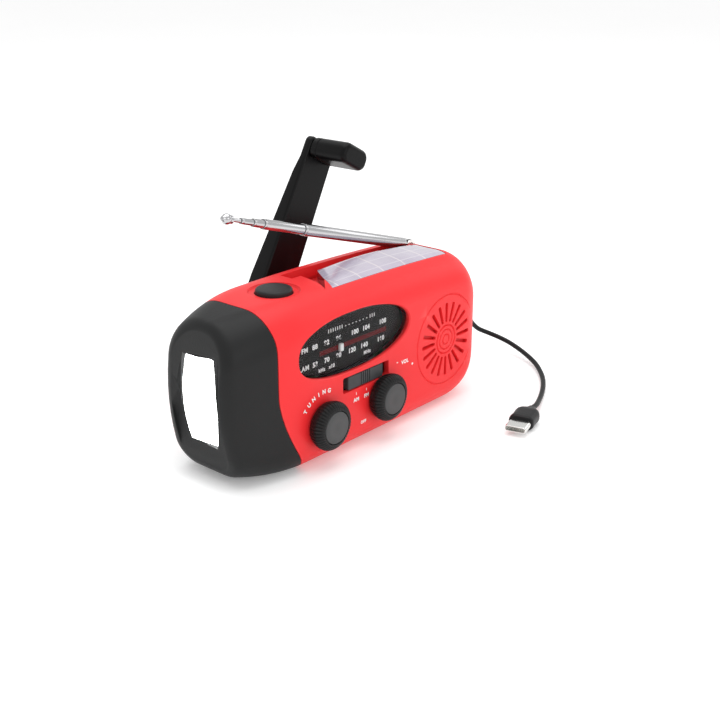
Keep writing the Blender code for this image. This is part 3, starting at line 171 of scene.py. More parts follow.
CORD_DIAMETER = 2.0 * MM
CORD_ROUTE = (
    (0.0884, 0.0043, 0.0170), (0.0916, 0.0047, 0.0156), (0.0949, 0.0050, 0.0124),
    (0.0982, 0.0043, 0.0095), (0.1012, 0.0018, 0.0076), (0.1029, -0.0026, 0.0062),
    (0.1031, -0.0082, 0.0050), (0.1019, -0.0142, 0.0038), (0.0995, -0.0204, 0.0028),
    (0.0958, -0.0268, 0.0020), (0.0910, -0.0323, 0.0015), (0.0848, -0.0377, 0.00125),
    (0.0778, -0.0423, 0.0012), (0.0705, -0.0462, 0.0013), (0.0632, -0.0496, 0.0018),
    (0.0572, -0.0522, 0.0026), (0.0524, -0.0535, 0.0033),
)


def smooth_route(route, steps):
    """Points on a smooth curve through the route."""
    points = [Vector(p) for p in route]
    points = [points[0] * 2 - points[1]] + points + [points[-1] * 2 - points[-2]]
    fine = []
    for a, b, c, d in zip(points, points[1:], points[2:], points[3:]):
        for k in range(steps):
            t = k / steps
            fine.append(0.5 * (2 * b + (c - a) * t + (2 * a - 5 * b + 4 * c - d) * t * t
                               + (3 * b - 3 * c + d - a) * t ** 3))
    return fine + [points[-2]]


def dark_plastic(name, colour, roughness, grain, depth, wear=0.5, shine=0.22):
    """Moulded dark plastic: fine spark grain, a little unevenness in tone and gloss, paler worn edges."""
    material, shader, node, join = new_material(name)
    where = node("ShaderNodeTexCoord").outputs["Object"]
    broad = node("ShaderNodeTexNoise", {"Scale": 55.0, "Detail": 5.0, "Roughness": 0.6}, Vector=where)
    fine = node("ShaderNodeTexNoise", {"Scale": grain, "Detail": 3.0, "Roughness": 0.7}, Vector=where)
    cells = node("ShaderNodeTexVoronoi", {"Scale": grain * 0.6}, Vector=where)
    edge = node("ShaderNodeNewGeometry")
    worn = node("ShaderNodeMapRange", {"From Min": 0.52, "From Max": 0.66, "To Max": wear},
                Value=edge.outputs["Pointiness"])
    tone = blend(node, broad.outputs["Fac"], [c * 0.82 for c in colour], [c * 1.18 for c in colour])
    paler = [min(1.0, c * 2.2 + 0.01) for c in colour]
    rubbed = blend(node, worn.outputs["Result"], tone.outputs["Result"], paler)
    join(rubbed.outputs["Result"], "Base Color")
    vary_gloss(node, join, fine.outputs["Fac"], roughness - 0.07, roughness + 0.07)
    relief = reckon(node, "ADD", fine.outputs["Fac"], cells.outputs["Distance"])
    roughen(node, join, relief.outputs["Value"], 0.35, depth)
    shader.inputs["Specular IOR Level"].default_value = shine
    return material


def link(name, data, body, slot, material, *stands_for):
    """Puts a finished piece on its body, with its finish and the solids it stands for."""
    piece = added(name, data)
    data.materials.append(material)
    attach(piece, body)
    if stands_for:
        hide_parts(*stands_for)
    return piece


cord_sheath = dark_plastic("cord_sheath", (0.006, 0.006, 0.0065), 0.48, 2600.0, 0.00004, 0.1)
cord_line = bpy.data.curves.new("cord", "CURVE")
cord_line.dimensions = "3D"
cord_line.bevel_depth = CORD_DIAMETER / 2
cord_line.bevel_resolution = 6
cord_line.use_fill_caps = True
cord_points = smooth_route(CORD_ROUTE, 8)
cord_spline = cord_line.splines.new("POLY")
cord_spline.points.add(len(cord_points) - 1)
for point, place in zip(cord_spline.points, cord_points):
    point.co = (*place, 1.0)
cord_spline.use_smooth = True
cord = link("cord", cord_line, "casing", "cord_sheath", cord_sheath, "lead_cord")


def stadium(width, height, radius, steps=6):
    """A rounded rectangle's points about the middle, in two directions."""
    points = []
    for quarter, (su, sv) in enumerate(((1, 1), (-1, 1), (-1, -1), (1, -1))):
        for k in range(steps + 1):
            angle = math.pi / 2 * (quarter + k / steps)
            points.append((su * (width / 2 - radius) + radius * math.cos(angle),
                           sv * (height / 2 - radius) + radius * math.sin(angle)))
    return points


def mesh_of(name, drawing):
    """The drawing as a mesh with its faces turned outwards."""
    bmesh.ops.recalc_face_normals(drawing, faces=drawing.faces)
    mesh = bpy.data.meshes.new(name)
    drawing.to_mesh(mesh)
    drawing.free()
    return mesh


def ring_body(name, rings, origin=(0, 0, 0), turn=0.0, smooth=True):
    """A closed skin through matching rings of points, turned about Z and moved into place."""
    drawing = bmesh.new()
    placed = Matrix.Translation(origin) @ Matrix.Rotation(turn, 4, "Z")
    rows = [[drawing.verts.new(placed @ Vector(p)) for p in ring] for ring in rings]
    for near, far in zip(rows, rows[1:]):
        for i in range(len(near)):
            j = (i + 1) % len(near)
            drawing.faces.new((near[i], near[j], far[j], far[i]))
    drawing.faces.new(rows[0])
    drawing.faces.new(rows[-1])
    mesh = mesh_of(name, drawing)
    if smooth:
        mesh.shade_smooth()
        mesh.set_sharp_from_angle(angle=math.radians(38))
    return mesh


def plug_rings(start, length, width, height, relief, relief_end):
    """A moulded plug: flat nose, full body with a thumb waist, and a ribbed taper to the cord."""
    rings = []
    nose = ((0, -0.6), (0.15, -0.25), (0.5, 0))
    waist = ((length * 0.3, 0), (length * 0.42, -0.35), (length * 0.62, -0.35), (length * 0.74, 0))
    shoulder = ((length - 0.9, 0), (length - 0.35, -0.3), (length - 0.1, -0.8), (length, -1.6))
    for x, grow in nose + waist + shoulder:
        w, h = width + 2 * grow, height + 2 * grow
        section = stadium(w, h, min(h / 2 - 0.05, 2.2 + grow))
        rings.append([(start + x * MM, u * MM, v * MM) for u, v in section])
    steps = 6
    for k in range(steps):
        near, far = k / steps, (k + 0.6) / steps
        for t, shrink in ((near, 0), (far, 0), (far, 0.35), ((k + 1) / steps, 0.35)):
            r = relief[0] + (relief[1] - relief[0]) * t - shrink
            x = start + (length + (relief_end - length) * t) * MM
            section = stadium(2 * r, 2 * r, r * 0.98)
            rings.append([(x + 0.00001 * len(rings), u * MM, v * MM) for u, v in section])
    return rings


plug_plastic = dark_plastic("plug_plastic", (0.007, 0.007, 0.0075), 0.42, 1500.0, 0.00006, 0.2)
plug_mesh = ring_body("plug", plug_rings(0.0643, 17.0, 14.6, 7.4, (2.3, 1.35), 23.7), (0, 0.0043, 0.017))
plug = link("plug", plug_mesh, "casing", "black_plastic", plug_plastic, "lead_plug")
end_heading = math.atan2(CORD_ROUTE[-1][1] - CORD_ROUTE[-2][1], CORD_ROUTE[-1][0] - CORD_ROUTE[-2][0])
ahead = Vector((math.cos(end_heading), math.sin(end_heading), 0))
end_place = Vector((*CORD_ROUTE[-1][:2], 0.0028)) + ahead * 0.0003
end_rings = []
for x, w, h in ((0, 2.6, 2.6), (0.05, 3.4, 3.2), (2.4, 4.6, 4.0), (3.6, 6.6, 4.8), (4.6, 8.6, 5.3),
                (5.6, 9.4, 5.55), (7, 9.6, 5.6), (10, 9.2, 5.4), (12.6, 9.6, 5.6), (13.6, 9.4, 5.4),
                (13.9, 9.0, 5.0), (14, 8.2, 4.2)):
    end_rings.append([(x * MM, u * MM, v * MM) for u, v in stadium(w, h, min(w, h) / 2 * 0.85)])
end_mesh = ring_body("end_plug", end_rings, end_place, end_heading)
end_plug = link("end_plug", end_mesh, "casing", "black_plastic", plug_plastic, "lead_end_plug")


def plated_steel(name, colour, roughness, streak=(1.0, 1.0, 1.0), scale=400.0, depth=0.00001):
    """Bright plated metal: fine drawn streaks, faint tarnish and dust in the gloss."""
    material, shader, node, join = new_material(name)
    where = node("ShaderNodeTexCoord").outputs["Object"]
    along = node("ShaderNodeMapping", {"Scale": streak}, Vector=where)
    fine = node("ShaderNodeTexNoise", {"Scale": scale, "Detail": 4.0}, Vector=along.outputs["Vector"])
    cloud = node("ShaderNodeTexNoise", {"Scale": 60.0, "Detail": 5.0}, Vector=where)
    tone = blend(node, cloud.outputs["Fac"], [c * 0.9 for c in colour], [min(1.0, c * 1.08) for c in colour])
    join(tone.outputs["Result"], "Base Color")
    vary_gloss(node, join, fine.outputs["Fac"], max(0.02, roughness - 0.06), roughness + 0.08)
    roughen(node, join, fine.outputs["Fac"], 0.25, depth)
    shader.inputs["Metallic"].default_value = 1.0
    return material


contact_steel = plated_steel("contact_steel", (0.72, 0.72, 0.70), 0.2, (0.2, 1.0, 1.0))
tip_rings = []
for x, w, h in ((13.2, 7.6, 2.1), (13.4, 8.2, 2.5), (19.8, 8.2, 2.5), (20.3, 7.9, 2.2), (20.3, 7.4, 1.7),
                (15.0, 7.4, 1.7)):
    tip_rings.append([(x * MM, u * MM, v * MM) for u, v in stadium(w, h, h * 0.42)])
tip_mesh = ring_body("end_plug_tip", tip_rings, end_place, end_heading)
end_tip = link("end_plug_tip", tip_mesh, "casing", "steel", contact_steel)


# ---------------------------------------------------------------- front and rear shells
# Two mouldings in coral-red ABS with a fine spark texture, split behind the middle and held by four
# screws from the back. The front one carries every opening, and trays under the panel and antenna.

HALF_LENGTH, HALF_DEPTH, WALL, SPLIT = 64.0, 21.8, 2.2, 12.0
TOP_RADIUS, BASE_RADIUS = 13.7, 8.6


def case_section(x):
    """Half width, base and top of the casing at x, all in millimetres."""
    nose = max(0.0, (-34.8 - x) / 29.2)
    lift = max(0.0, (-28.7 - x) / 35.3)

    def fall(radius, share):
        q = min(1.0, max(0.0, (x - HALF_LENGTH + radius) / radius))
        return share * radius * (1 - math.sqrt(max(0.0, 1 - q * q)))

    half = HALF_DEPTH - 7.4 * nose ** 2 - fall(12.7, 0.8)
    top = 58.3 - 2.9 * nose ** 2 - fall(17.5, 0.9) + 1.5 * (1 - ((x + 10) / 60) ** 2)
    return half, 3.3 * lift ** 3 + fall(20.9, 1.0), top


def case_ring(x, inset, bulge, steps=14):
    """One closed cross-section in metres, from the front of the base over the top and back."""
    half, base, top = case_section(x)
    half, base, top = half - inset, base + inset, top - inset
    reach = (top - base) / 2
    low = min(max(BASE_RADIUS - inset, 1.0), half * 0.95, reach * 0.95)
    high = min(max(TOP_RADIUS - inset, 1.0), half * 0.95, reach * 0.95)
    side = []
    for k in range(steps + 1):
        angle = math.pi / 2 * k / steps
        side.append((half - low + low * math.sin(angle), base + low - low * math.cos(angle)))
    for k in range(1, 6):
        side.append((half, base + low + (top - high - base - low) * k / 6))
    for k in range(steps + 1):
        angle = math.pi / 2 * k / steps
        side.append((half - high + high * math.cos(angle), top - high + high * math.sin(angle)))
    across = [(-side[-1][0] * k / 6, side[-1][1]) for k in range(5, -6, -1)]
    below = [(side[0][0] * k / 6, side[0][1]) for k in range(5, -6, -1)]
    loop = [(-y, z) for y, z in side] + across + [(y, z) for y, z in reversed(side)] + below
    middle = (base + top) / 2
    return [((x - bulge * 4.2 * max(0.0, 1 - ((z - middle) / reach) ** 2)) * MM, y * MM, z * MM) for y,
            z in loop]


def case_skin(name, inset):
    """The casing's outside, or the same skin moved inwards, as one closed body."""
    left, right = -HALF_LENGTH + inset, HALF_LENGTH - inset
    edge = 3.0 if inset == 0 else 0.5
    stations = []
    for k in range(8):
        angle = math.pi / 2 * k / 7
        stations.append((left + edge * (1 - math.cos(angle)), edge * (1 - math.sin(angle)), 1.0))
    for k in range(1, 17):
        share = 1 - k / 16
        stations.append((left + edge + (1 - share) * 12, 0.0,
                         share * share * (3 - 2 * share) * 0.35 + share * 0.65))
    x = left + edge + 13.5
    while x < right - 17.6:
        stations.append((x, 0.0, 0.0))
        x += 2.0 if x < -28 else 6.0
    for k in range(18):
        q = math.sin(math.pi / 2 * k / 17)
        stations.append((right - 17.5 + 17.5 * q, 0.0, 0.0))
    return ring_body(name, [case_ring(x, inset + grown, bulge) for x, grown, bulge in stations], smooth=False)


def block(name, low, high):
    drawing = bmesh.new()
    size = Matrix.Diagonal([(b - a) * MM for a, b in zip(low, high)] + [1.0])
    middle = Matrix.Translation([(a + b) / 2 * MM for a, b in zip(low, high)])
    bmesh.ops.create_cube(drawing, size=1.0, matrix=middle @ size)
    return mesh_of(name, drawing)


def stack(name, layers, plane="XZ"):
    """A body through outlines at rising depths, all in millimetres: on a flared cutter it leaves a bevel."""
    order = {"XZ": (0, 2, 1), "XY": (0, 1, 2), "YZ": (2, 0, 1)}[plane]
    rings = [[[(u, v, depth)[k] * MM for k in order] for u, v in outline] for depth, outline in layers]
    return ring_body(name, rings, smooth=False)


def bar(name, outline, near, far, plane="XZ"):
    """A straight body through one outline."""
    return stack(name, ((near, outline), (far, outline)), plane)


def circle(x, z, radius, sides=48):
    return [(x + radius * math.cos(2 * math.pi * k / sides), z + radius * math.sin(2 * math.pi * k / sides))
            for k in range(sides)]


def carved(name, mesh, *steps):
    """The mesh after each step: (what to do, with which mesh)."""
    work = added(name, mesh)
    tools = []
    for deed, tool_mesh in steps:
        tool = added("tool", tool_mesh)
        tools.append(tool)
        step = work.modifiers.new("step", "BOOLEAN")
        step.operation = deed
        step.solver = "EXACT"
        step.object = tool
    bpy.context.view_layer.update()
    result = bpy.data.meshes.new_from_object(work.evaluated_get(bpy.context.evaluated_depsgraph_get()))
    for helper in tools + [work]:
        bpy.data.objects.remove(helper)
    result.name = name
    result.materials.clear()
    result.shade_smooth()
    result.set_sharp_from_angle(angle=math.radians(28))
    return result


def steady_shading(piece):
    """Large flat faces keep their own direction, so that shading doesn't smear at the openings."""
    even = piece.modifiers.new("Shading", "WEIGHTED_NORMAL")
    even.keep_sharp = True
    even.weight = 80


def cap_edge(z):
    if z < 30:
        return -49.2 + 12.0 * ((30 - z) / 30) ** 1.6
    return -49.2 - 0.9 * max(0.0, (z - 50) / 10)


def cap_side(name, shift, beyond):
    heights = [-2 + 2 * k for k in range(17)] + [35, 40, 45, 50, 52, 54, 56, 58, 60, 64]
    outline = [(cap_edge(max(0.0, z)) + shift, z) for z in heights] + [(beyond, 64), (beyond, -2)]
    return bar(name, outline, -30, 30)


DIAL_X, DIAL_Z = -12.2, 41.0


def dial_shape(grow, points=72):
    """Blunt to the left, finer to the right."""
    outline = []
    for k in range(points):
        c, s = math.cos(2 * math.pi * k / points), math.sin(2 * math.pi * k / points)
        power = 2 / (2.5 if c < 0 else 2.08)
        outline.append((DIAL_X + (28.8 + grow) * math.copysign(abs(c) ** power, c),
                        DIAL_Z + (10.6 + grow) * math.copysign(abs(s) ** power, s)))
    return outline


def panel_shape(grow, low_x=None):
    points = [(49.0 + grow, -13.0 - grow), (49.0 + grow, 1.8 + grow)]
    for k in range(13):
        t = k / 12
        points.append((-12.0 + 5 * (1 - t) ** 2 - 3.2 * t * t - grow, 1.8 + grow - (14.8 + 2 * grow) * t))
    return points


BUTTON_X, BUTTON_Y = -32.4, -1.9
KNOBS = {"tuning": (-29.6, 15.5), "volume": (1.3, 16.2)}
SWITCH_X, SWITCH_Z = -7.6, 25.9
SPEAKER_X, SPEAKER_Z = 38.9, 27.2
button_top = case_section(BUTTON_X)[2]
deck_top = case_section(0)[2]
SCREWS = ((-43.0, 46.0), (-33.0, 7.6), (45.5, 46.0), (42.0, 7.4))


def shifted(outline, x, z):
    return [(x + u, z + v) for u, v in outline]


def sound_slots():
    """Twenty tapered slots, a little wider outside, in one body each but one mesh."""
    drawing = bmesh.new()
    for k in range(20):
        angle = 2 * math.pi * k / 20
        rings = []
        for depth, grow in ((-24.0, 0.5), (-21.8, 0.18), (-21.4, 0.0), (-20.25, 0.0)):
            ring = []
            for r, w in ((7.0 - grow, 0.42), (7.4, 0.5 + grow), (14.0, 0.62 + grow), (14.4 + grow, 0.5),
                         (14.4 + grow, -0.5),
                         (14.0, -0.62 - grow), (7.4, -0.5 - grow), (7.0 - grow, -0.42)):
                u = SPEAKER_X + r * math.cos(angle) - w * math.sin(angle)
                v = SPEAKER_Z + r * math.sin(angle) + w * math.cos(angle)
                ring.append(drawing.verts.new((u * MM, depth * MM, v * MM)))
            rings.append(ring)
        for near, far in zip(rings, rings[1:]):
            for i in range(8):
                drawing.faces.new((near[i], near[(i + 1) % 8], far[(i + 1) % 8], far[i]))
        drawing.faces.new(rings[0])
        drawing.faces.new(rings[-1])
    return mesh_of("sound_slots", drawing)


def groove(x, z, radius, half, depth, face=-21.8, sides=72):
    """A shallow V groove round a centre on the front face."""
    drawing = bmesh.new()
    rows = []
    for k in range(sides):
        c, s = math.cos(2 * math.pi * k / sides), math.sin(2 * math.pi * k / sides)
        row = []
        for r, y in ((radius - half - 0.5, face - 0.5), (radius - half * 0.2, face + depth),
                     (radius + half * 0.2, face + depth),
                     (radius + half + 0.5, face - 0.5)):
            row.append(drawing.verts.new(((x + r * c) * MM, y * MM, (z + r * s) * MM)))
        rows.append(row)
    for near, far in zip(rows, rows[1:] + rows[:1]):
        for i in range(4):
            j = (i + 1) % 4
            drawing.faces.new((near[i], near[j], far[j], far[i]))
    return mesh_of("groove", drawing)


tray_part = block("tray_part", (-20.6, -14.6, 53.2), (53.1, 10.0, 70))
tray = carved("tray", case_skin("tray", 0.6), ("INTERSECT", tray_part))
notch_curve = [(-14.4 - 4.4 * (k / 12) ** 2, 8.4 - 21.4 * k / 12) for k in range(13)]
notch_shape = notch_curve + [(-4.0, 1.8), (-4.0, 8.4)]
dial_layers = ((-24, 1.1), (-21.8, 0.45), (-21.35, 0), (-16.6, 0))
ring_layers = ((button_top + 3, 9.3), (button_top - 0.1, 9.1), (button_top - 0.7, 8.7))
bosses = [("UNION", bar("boss", circle(x, z, 3.1, 24), -19.9, 11.4)) for x, z in SCREWS]
slot_end = [shifted(stadium(24.4 + g, 5.6 + g, 0.8), SWITCH_X, SWITCH_Z) for g in (0.0, 1.3)]
front_mesh = carved(
    "front_shell", case_skin("front_shell", 0.0), ("DIFFERENCE", case_skin("inside", WALL)), ("UNION", tray),
    ("DIFFERENCE", block("under_tray", (-22.0, -15.0, 51.2), (49.5, 1.0, deck_top - 4.6))),
    ("INTERSECT", block("front_part", (-80, -35, -10), (80, SPLIT - 0.15, 80))),
    ("DIFFERENCE", cap_side("cap_side", 0.15, -90)), *bosses,
    ("DIFFERENCE", stack("dial_hole", [(depth, dial_shape(grow)) for depth, grow in dial_layers])),
    *[("DIFFERENCE", bar("shaft_hole", circle(*place, 3.3), -24, -18)) for place in KNOBS.values()],
    ("DIFFERENCE", stack("switch_hole", ((-23.8, slot_end[1]), (-21.3, slot_end[0]), (-17.6, slot_end[0])))),
    ("DIFFERENCE", sound_slots()),
    *[("DIFFERENCE", groove(SPEAKER_X, SPEAKER_Z, *sizes))
      for sizes in ((17.6, 0.35, 0.35), (5.6, 0.3, 0.55), (3.9, 0.22, 0.4), (1.9, 0.2, 0.4))],
    ("DIFFERENCE", stack("button_ring", [(h, circle(BUTTON_X, BUTTON_Y, r)) for h, r in ring_layers], "XY")),
    ("DIFFERENCE", bar("button_hole", circle(BUTTON_X, BUTTON_Y, 6.7), button_top + 3, button_top - 9, "XY")),
    ("DIFFERENCE", bar("panel_pocket", panel_shape(0.3), 70, case_section(49)[2] - 1.9, "XY")),
    ("DIFFERENCE", bar("notch", notch_shape, 70, deck_top - 3.4, "XY")),
    ("DIFFERENCE", block("channel", (-19, 2.6, deck_top - 5.0), (51.5, 8.4, 70))),
    ("DIFFERENCE", block("socket_hole", (55, -3.0, 13.4), (70, 11.6, 20.6))),
    ("DIFFERENCE", block("charge_hole", (58, -0.3, 24.8), (70, 8.9, 29.2))),
)
rear_holes = []
for x, z in SCREWS:
    rear_holes.append(("DIFFERENCE", bar("recess", circle(x, z, 2.7, 32), 16.7, 40)))
    rear_holes.append(("DIFFERENCE", bar("screw_hole", circle(x, z, 1.5, 24), 0, 18)))
pillars = [("UNION", bar("pillar", circle(x, z, 3.1, 24), 12.6, 20.6)) for x, z in SCREWS]
rear_mesh = carved(
    "rear_shell", case_skin("rear_shell", 0.0), ("DIFFERENCE", case_skin("inside", WALL)),
    ("INTERSECT", block("rear_part", (-80, SPLIT + 0.15, -10), (80, 35, 80))),
    ("DIFFERENCE", cap_side("cap_side", 0.15, -90)), *pillars, *rear_holes,
    ("DIFFERENCE", bar("hub_hole", circle(-10.8, 32.0, 3.3), 10, 30)),
)


def red_moulding(name):
    """Coral-red ABS: fine spark grain, faint flow clouding, paler rubbed edges, and painted shade that darkens the
    hollows and corners.
    """
    material, shader, node, join = new_material(name)
    where = node("ShaderNodeTexCoord").outputs["Object"]
    cloud = node("ShaderNodeTexNoise", {"Scale": 28.0, "Detail": 4.0}, Vector=where)
    grain = node("ShaderNodeTexNoise", {"Scale": 3200.0, "Detail": 2.0}, Vector=where)
    pits = node("ShaderNodeTexVoronoi", {"Scale": 1900.0}, Vector=where)
    tone = blend(node, cloud.outputs["Fac"], (0.78, 0.018, 0.022), (0.84, 0.030, 0.034))
    edge = node("ShaderNodeNewGeometry")
    rubbed = node("ShaderNodeMapRange", {"From Min": 0.53, "From Max": 0.68, "To Max": 0.35},
                  Value=edge.outputs["Pointiness"])
    bright = blend(node, rubbed.outputs["Result"], tone.outputs["Result"], (0.95, 0.16, 0.15))
    # Painted shade: hollows and inside corners are darkened towards a deep red, standing in for shade.
    corner_shade = node("ShaderNodeMapRange", {"From Min": 0.47, "From Max": 0.36, "To Max": 0.45},
                Value=edge.outputs["Pointiness"])
    deep = blend(node, corner_shade.outputs["Result"], bright.outputs["Result"], (0.33, 0.012, 0.014))
    join(deep.outputs["Result"], "Base Color")
    vary_gloss(node, join, cloud.outputs["Fac"], 0.34, 0.50)
    relief = reckon(node, "ADD", grain.outputs["Fac"], pits.outputs["Distance"])
    roughen(node, join, relief.outputs["Value"], 0.3, 0.00003)
    shader.inputs["Specular IOR Level"].default_value = 0.26
    shader.inputs["Subsurface Weight"].default_value = 0.06
    shader.inputs["Subsurface Radius"].default_value = (0.0012, 0.0003, 0.0002)
    return material


red_plastic = red_moulding("red_plastic")
front_shell = link("front_casing", front_mesh, "casing", "red_plastic", red_plastic, "front_shell")
rear_shell = link("rear_casing", rear_mesh, "casing", "red_plastic", red_plastic, "rear_shell")
steady_shading(front_shell)
steady_shading(rear_shell)


# ---------------------------------------------------------------- torch end
# A dark soft-touch cap snaps over the casing's end and frames a clear window. Behind it three LEDs
# sit in a bright plated reflector on their own small board.

WINDOW_Z, WINDOW_REACH = 29.2, 15.3
window_shape = []
for side in (1, -1):
    for k in range(13):
        t = 1 - k / 6
        window_shape.append((side * (7.8 - 1.4 * t * t), WINDOW_Z + side * t * WINDOW_REACH))


def window_grown(grow):
    """The window's outline moved outwards."""
    taller = (WINDOW_REACH + grow) / WINDOW_REACH
    return [(u + math.copysign(grow, u), WINDOW_Z + (v - WINDOW_Z) * taller) for u, v in window_shape]


cap_rubber = dark_plastic("cap_rubber", (0.010, 0.0103, 0.0106), 0.46, 2400.0, 0.00004, 0.2)
window_layers = ((-80, 2.0), (-68.7, 2.0), (-66.6, 0.3), (-60, 0.3))
cap_mesh = carved(
    "torch_cap", case_skin("torch_cap", 0.0), ("DIFFERENCE", case_skin("inside", WALL)),
    ("DIFFERENCE", cap_side("case_part", -0.15, 90)),
    ("DIFFERENCE", stack("window", [(depth, window_grown(grow)) for depth, grow in window_layers], "YZ")),
)
torch_cap = link("torch_end_cap", cap_mesh, "casing", "charcoal_plastic", cap_rubber, "torch_cap")
steady_shading(torch_cap)


def window_plastic(name):
    """Clear acrylic lit from behind: bright in the middle of each LED's beam, with fine moulded flutes."""
    material, shader, node, join = new_material(name)
    where = node("ShaderNodeTexCoord").outputs["Object"]
    flutes = node("ShaderNodeTexWave", {"Scale": 180.0, "Distortion": 0.4, "bands_direction": "Z"},
                  Vector=where)
    split = node("ShaderNodeSeparateXYZ", Vector=where)
    wave = reckon(node, "PINGPONG", split.outputs["Z"], 0.0049)
    beam = node("ShaderNodeMapRange", {"From Max": 0.0049, "To Min": 1.5, "To Max": 3.2},
                Value=wave.outputs["Value"])
    join(beam.outputs["Result"], "Emission Strength")
    shader.inputs["Emission Color"].default_value = (1.0, 0.99, 0.97, 1.0)
    roughen(node, join, flutes.outputs["Fac"], 0.3, 0.0001)
    shader.inputs["Base Color"].default_value = (0.92, 0.94, 0.96, 1.0)
    shader.inputs["Roughness"].default_value = 0.12
    shader.inputs["Transmission Weight"].default_value = 0.35
    return material


lit_window = window_plastic("lit_window")
lens_mesh = carved(
    "torch_window", case_skin("torch_window", 1.6), ("DIFFERENCE", case_skin("lens_back", 3.2)),
    ("INTERSECT", bar("lens_part", window_shape, -80, -60, "YZ")),
)
link("torch_window", lens_mesh, "casing", "clear_plastic", lit_window, "torch_lens")


def dress(material, *names):
    """Gives solids that are right as they are their finish."""
    for name in names:
        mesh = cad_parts[name].data
        mesh.materials.clear()
        mesh.materials.append(material)


dress(plated_steel("reflector_plating", (0.86, 0.87, 0.88), 0.1, scale=700.0), "reflector")
led_resin, shader, node, join = new_material("led_resin")
where = node("ShaderNodeTexCoord").outputs["Object"]
glow = node("ShaderNodeTexNoise", {"Scale": 900.0}, Vector=where)
strength = node("ShaderNodeMapRange", {"To Min": 5.0, "To Max": 9.0}, Value=glow.outputs["Fac"])
join(strength.outputs["Result"], "Emission Strength")
shader.inputs["Emission Color"].default_value = (1.0, 0.99, 0.95, 1.0)
shader.inputs["Base Color"].default_value = (0.9, 0.85, 0.5, 1.0)
dress(led_resin, "led_1", "led_2", "led_3")


def board_lacquer(name):
    """Green-lacquered glass board: copper tracks showing through as paler lines."""
    material, shader, node, join = new_material(name)
    where = node("ShaderNodeTexCoord").outputs["Object"]
    tracks = node("ShaderNodeTexBrick", {"Scale": 320.0, "Mortar Size": 0.06}, Vector=where)
    tracks.inputs["Color1"].default_value = (0.012, 0.12, 0.045, 1.0)
    tracks.inputs["Color2"].default_value = (0.015, 0.15, 0.06, 1.0)
    tracks.inputs["Mortar"].default_value = (0.06, 0.30, 0.12, 1.0)
    join(tracks.outputs["Color"], "Base Color")
    roughen(node, join, tracks.outputs["Fac"], 0.4, 0.00004)
    shader.inputs["Roughness"].default_value = 0.32
    return material


green_board = board_lacquer("green_board")
dress(green_board, "led_board", "main_board")


# ---------------------------------------------------------------- torch button
# A domed dark button in a shallow ring on the top. It presses down against a small sealed switch
# and springs back.

def round_ring(radius, height, sides):
    """A ring of points in metres; a ring at the axis keeps a hair's width."""
    r = max(radius, 0.002)
    angles = [2 * math.pi * k / sides for k in range(sides)]
    return [Vector((r * MM * math.cos(a), r * MM * math.sin(a), height * MM)) for a in angles]


def turned_mesh(name, profile, centre, axis="Z", sides=64):
    """A body turned round an axis: profile points are (radius, height) in millimetres."""
    turn = Matrix.Identity(3) if axis == "Z" else Matrix(((1, 0, 0), (0, 0, 1), (0, -1, 0)))
    middle = Vector([c * MM for c in centre])
    rings = [[middle + turn @ point for point in round_ring(radius, height, sides)] for radius,
             height in profile]
    return ring_body(name, rings)


def arc(radius, height, size, start, end, steps=5):
    """Profile points on a round of this size about (radius, height), its ends in degrees."""
    angles = [math.radians(start + (end - start) * k / steps) for k in range(steps + 1)]
    return [(radius + size * math.cos(a), height + size * math.sin(a)) for a in angles]


button_plastic = dark_plastic("button_plastic", (0.016, 0.0165, 0.017), 0.45, 2200.0, 0.00004, 0.2)
button_high = button_top + 1.1
dome = [(0, button_high), (2, button_high - 0.02), (4, button_high - 0.08)]
stem = [(6.4, button_high - 1.2), (6.4, button_high - 3.4), (2, button_high - 3.4), (2, button_high - 8.6),
        (0, button_high - 8.6)]
button_profile = dome + arc(5.5, button_high - 1.0, 0.88, 84, 0) + stem
button_mesh = turned_mesh("button", button_profile[::-1], (BUTTON_X, BUTTON_Y, 0))
link("button", button_mesh, "torch_button", "charcoal_plastic", button_plastic, "torch_button")
dress(button_plastic, "button_switch")


# ---------------------------------------------------------------- solar panel
# Thin silicon strips under a clear domed cover, bonded into its pocket in the top. The cells are
# dark blue-violet with silver fingers, and the cover takes a pale sheen from the sky.

def panel_cells(name):
    material, shader, node, join = new_material(name)
    where = node("ShaderNodeTexCoord").outputs["Object"]
    split = node("ShaderNodeSeparateXYZ", Vector=where)

    def stripes(axis, pitch, width):
        ping = reckon(node, "PINGPONG", split.outputs[axis], pitch / 2)
        less = reckon(node, "LESS_THAN", ping.outputs["Value"], width / 2)
        return less

    fingers = stripes("X", 0.0011, 0.00014)
    bars = stripes("Y", 0.0052, 0.0005)
    gaps = stripes("X", 0.0122, 0.0007)
    lines = reckon(node, "MAXIMUM", fingers.outputs["Value"], bars.outputs["Value"])
    cloud = node("ShaderNodeTexNoise", {"Scale": 90.0, "Detail": 6.0}, Vector=where)
    cell = blend(node, cloud.outputs["Fac"], (0.30, 0.26, 0.36), (0.52, 0.47, 0.56))
    ruled = blend(node, lines.outputs["Value"], cell.outputs["Result"], (0.52, 0.48, 0.55))
    parted = blend(node, gaps.outputs["Value"], ruled.outputs["Result"], (0.60, 0.54, 0.58))
    # Painted shade: the panel's steep side faces are darkened, standing in for the shadow at its edges.
    facing = node("ShaderNodeNewGeometry")
    upright = node("ShaderNodeSeparateXYZ", Vector=facing.outputs["True Normal"])
    side_shade = node("ShaderNodeMapRange", {"From Min": 0.35, "From Max": 0.55, "To Min": 1.0, "To Max": 0.0},
                 Value=upright.outputs["Z"])
    shaded_sides = blend(node, side_shade.outputs["Result"], parted.outputs["Result"], (0.06, 0.03, 0.035))
    join(shaded_sides.outputs["Result"], "Base Color")
    vary_gloss(node, join, cloud.outputs["Fac"], 0.10, 0.24)
    shader.inputs["Coat Weight"].default_value = 1.0
    shader.inputs["Coat Roughness"].default_value = 0.06
    shader.inputs["Specular IOR Level"].default_value = 0.7
    return material


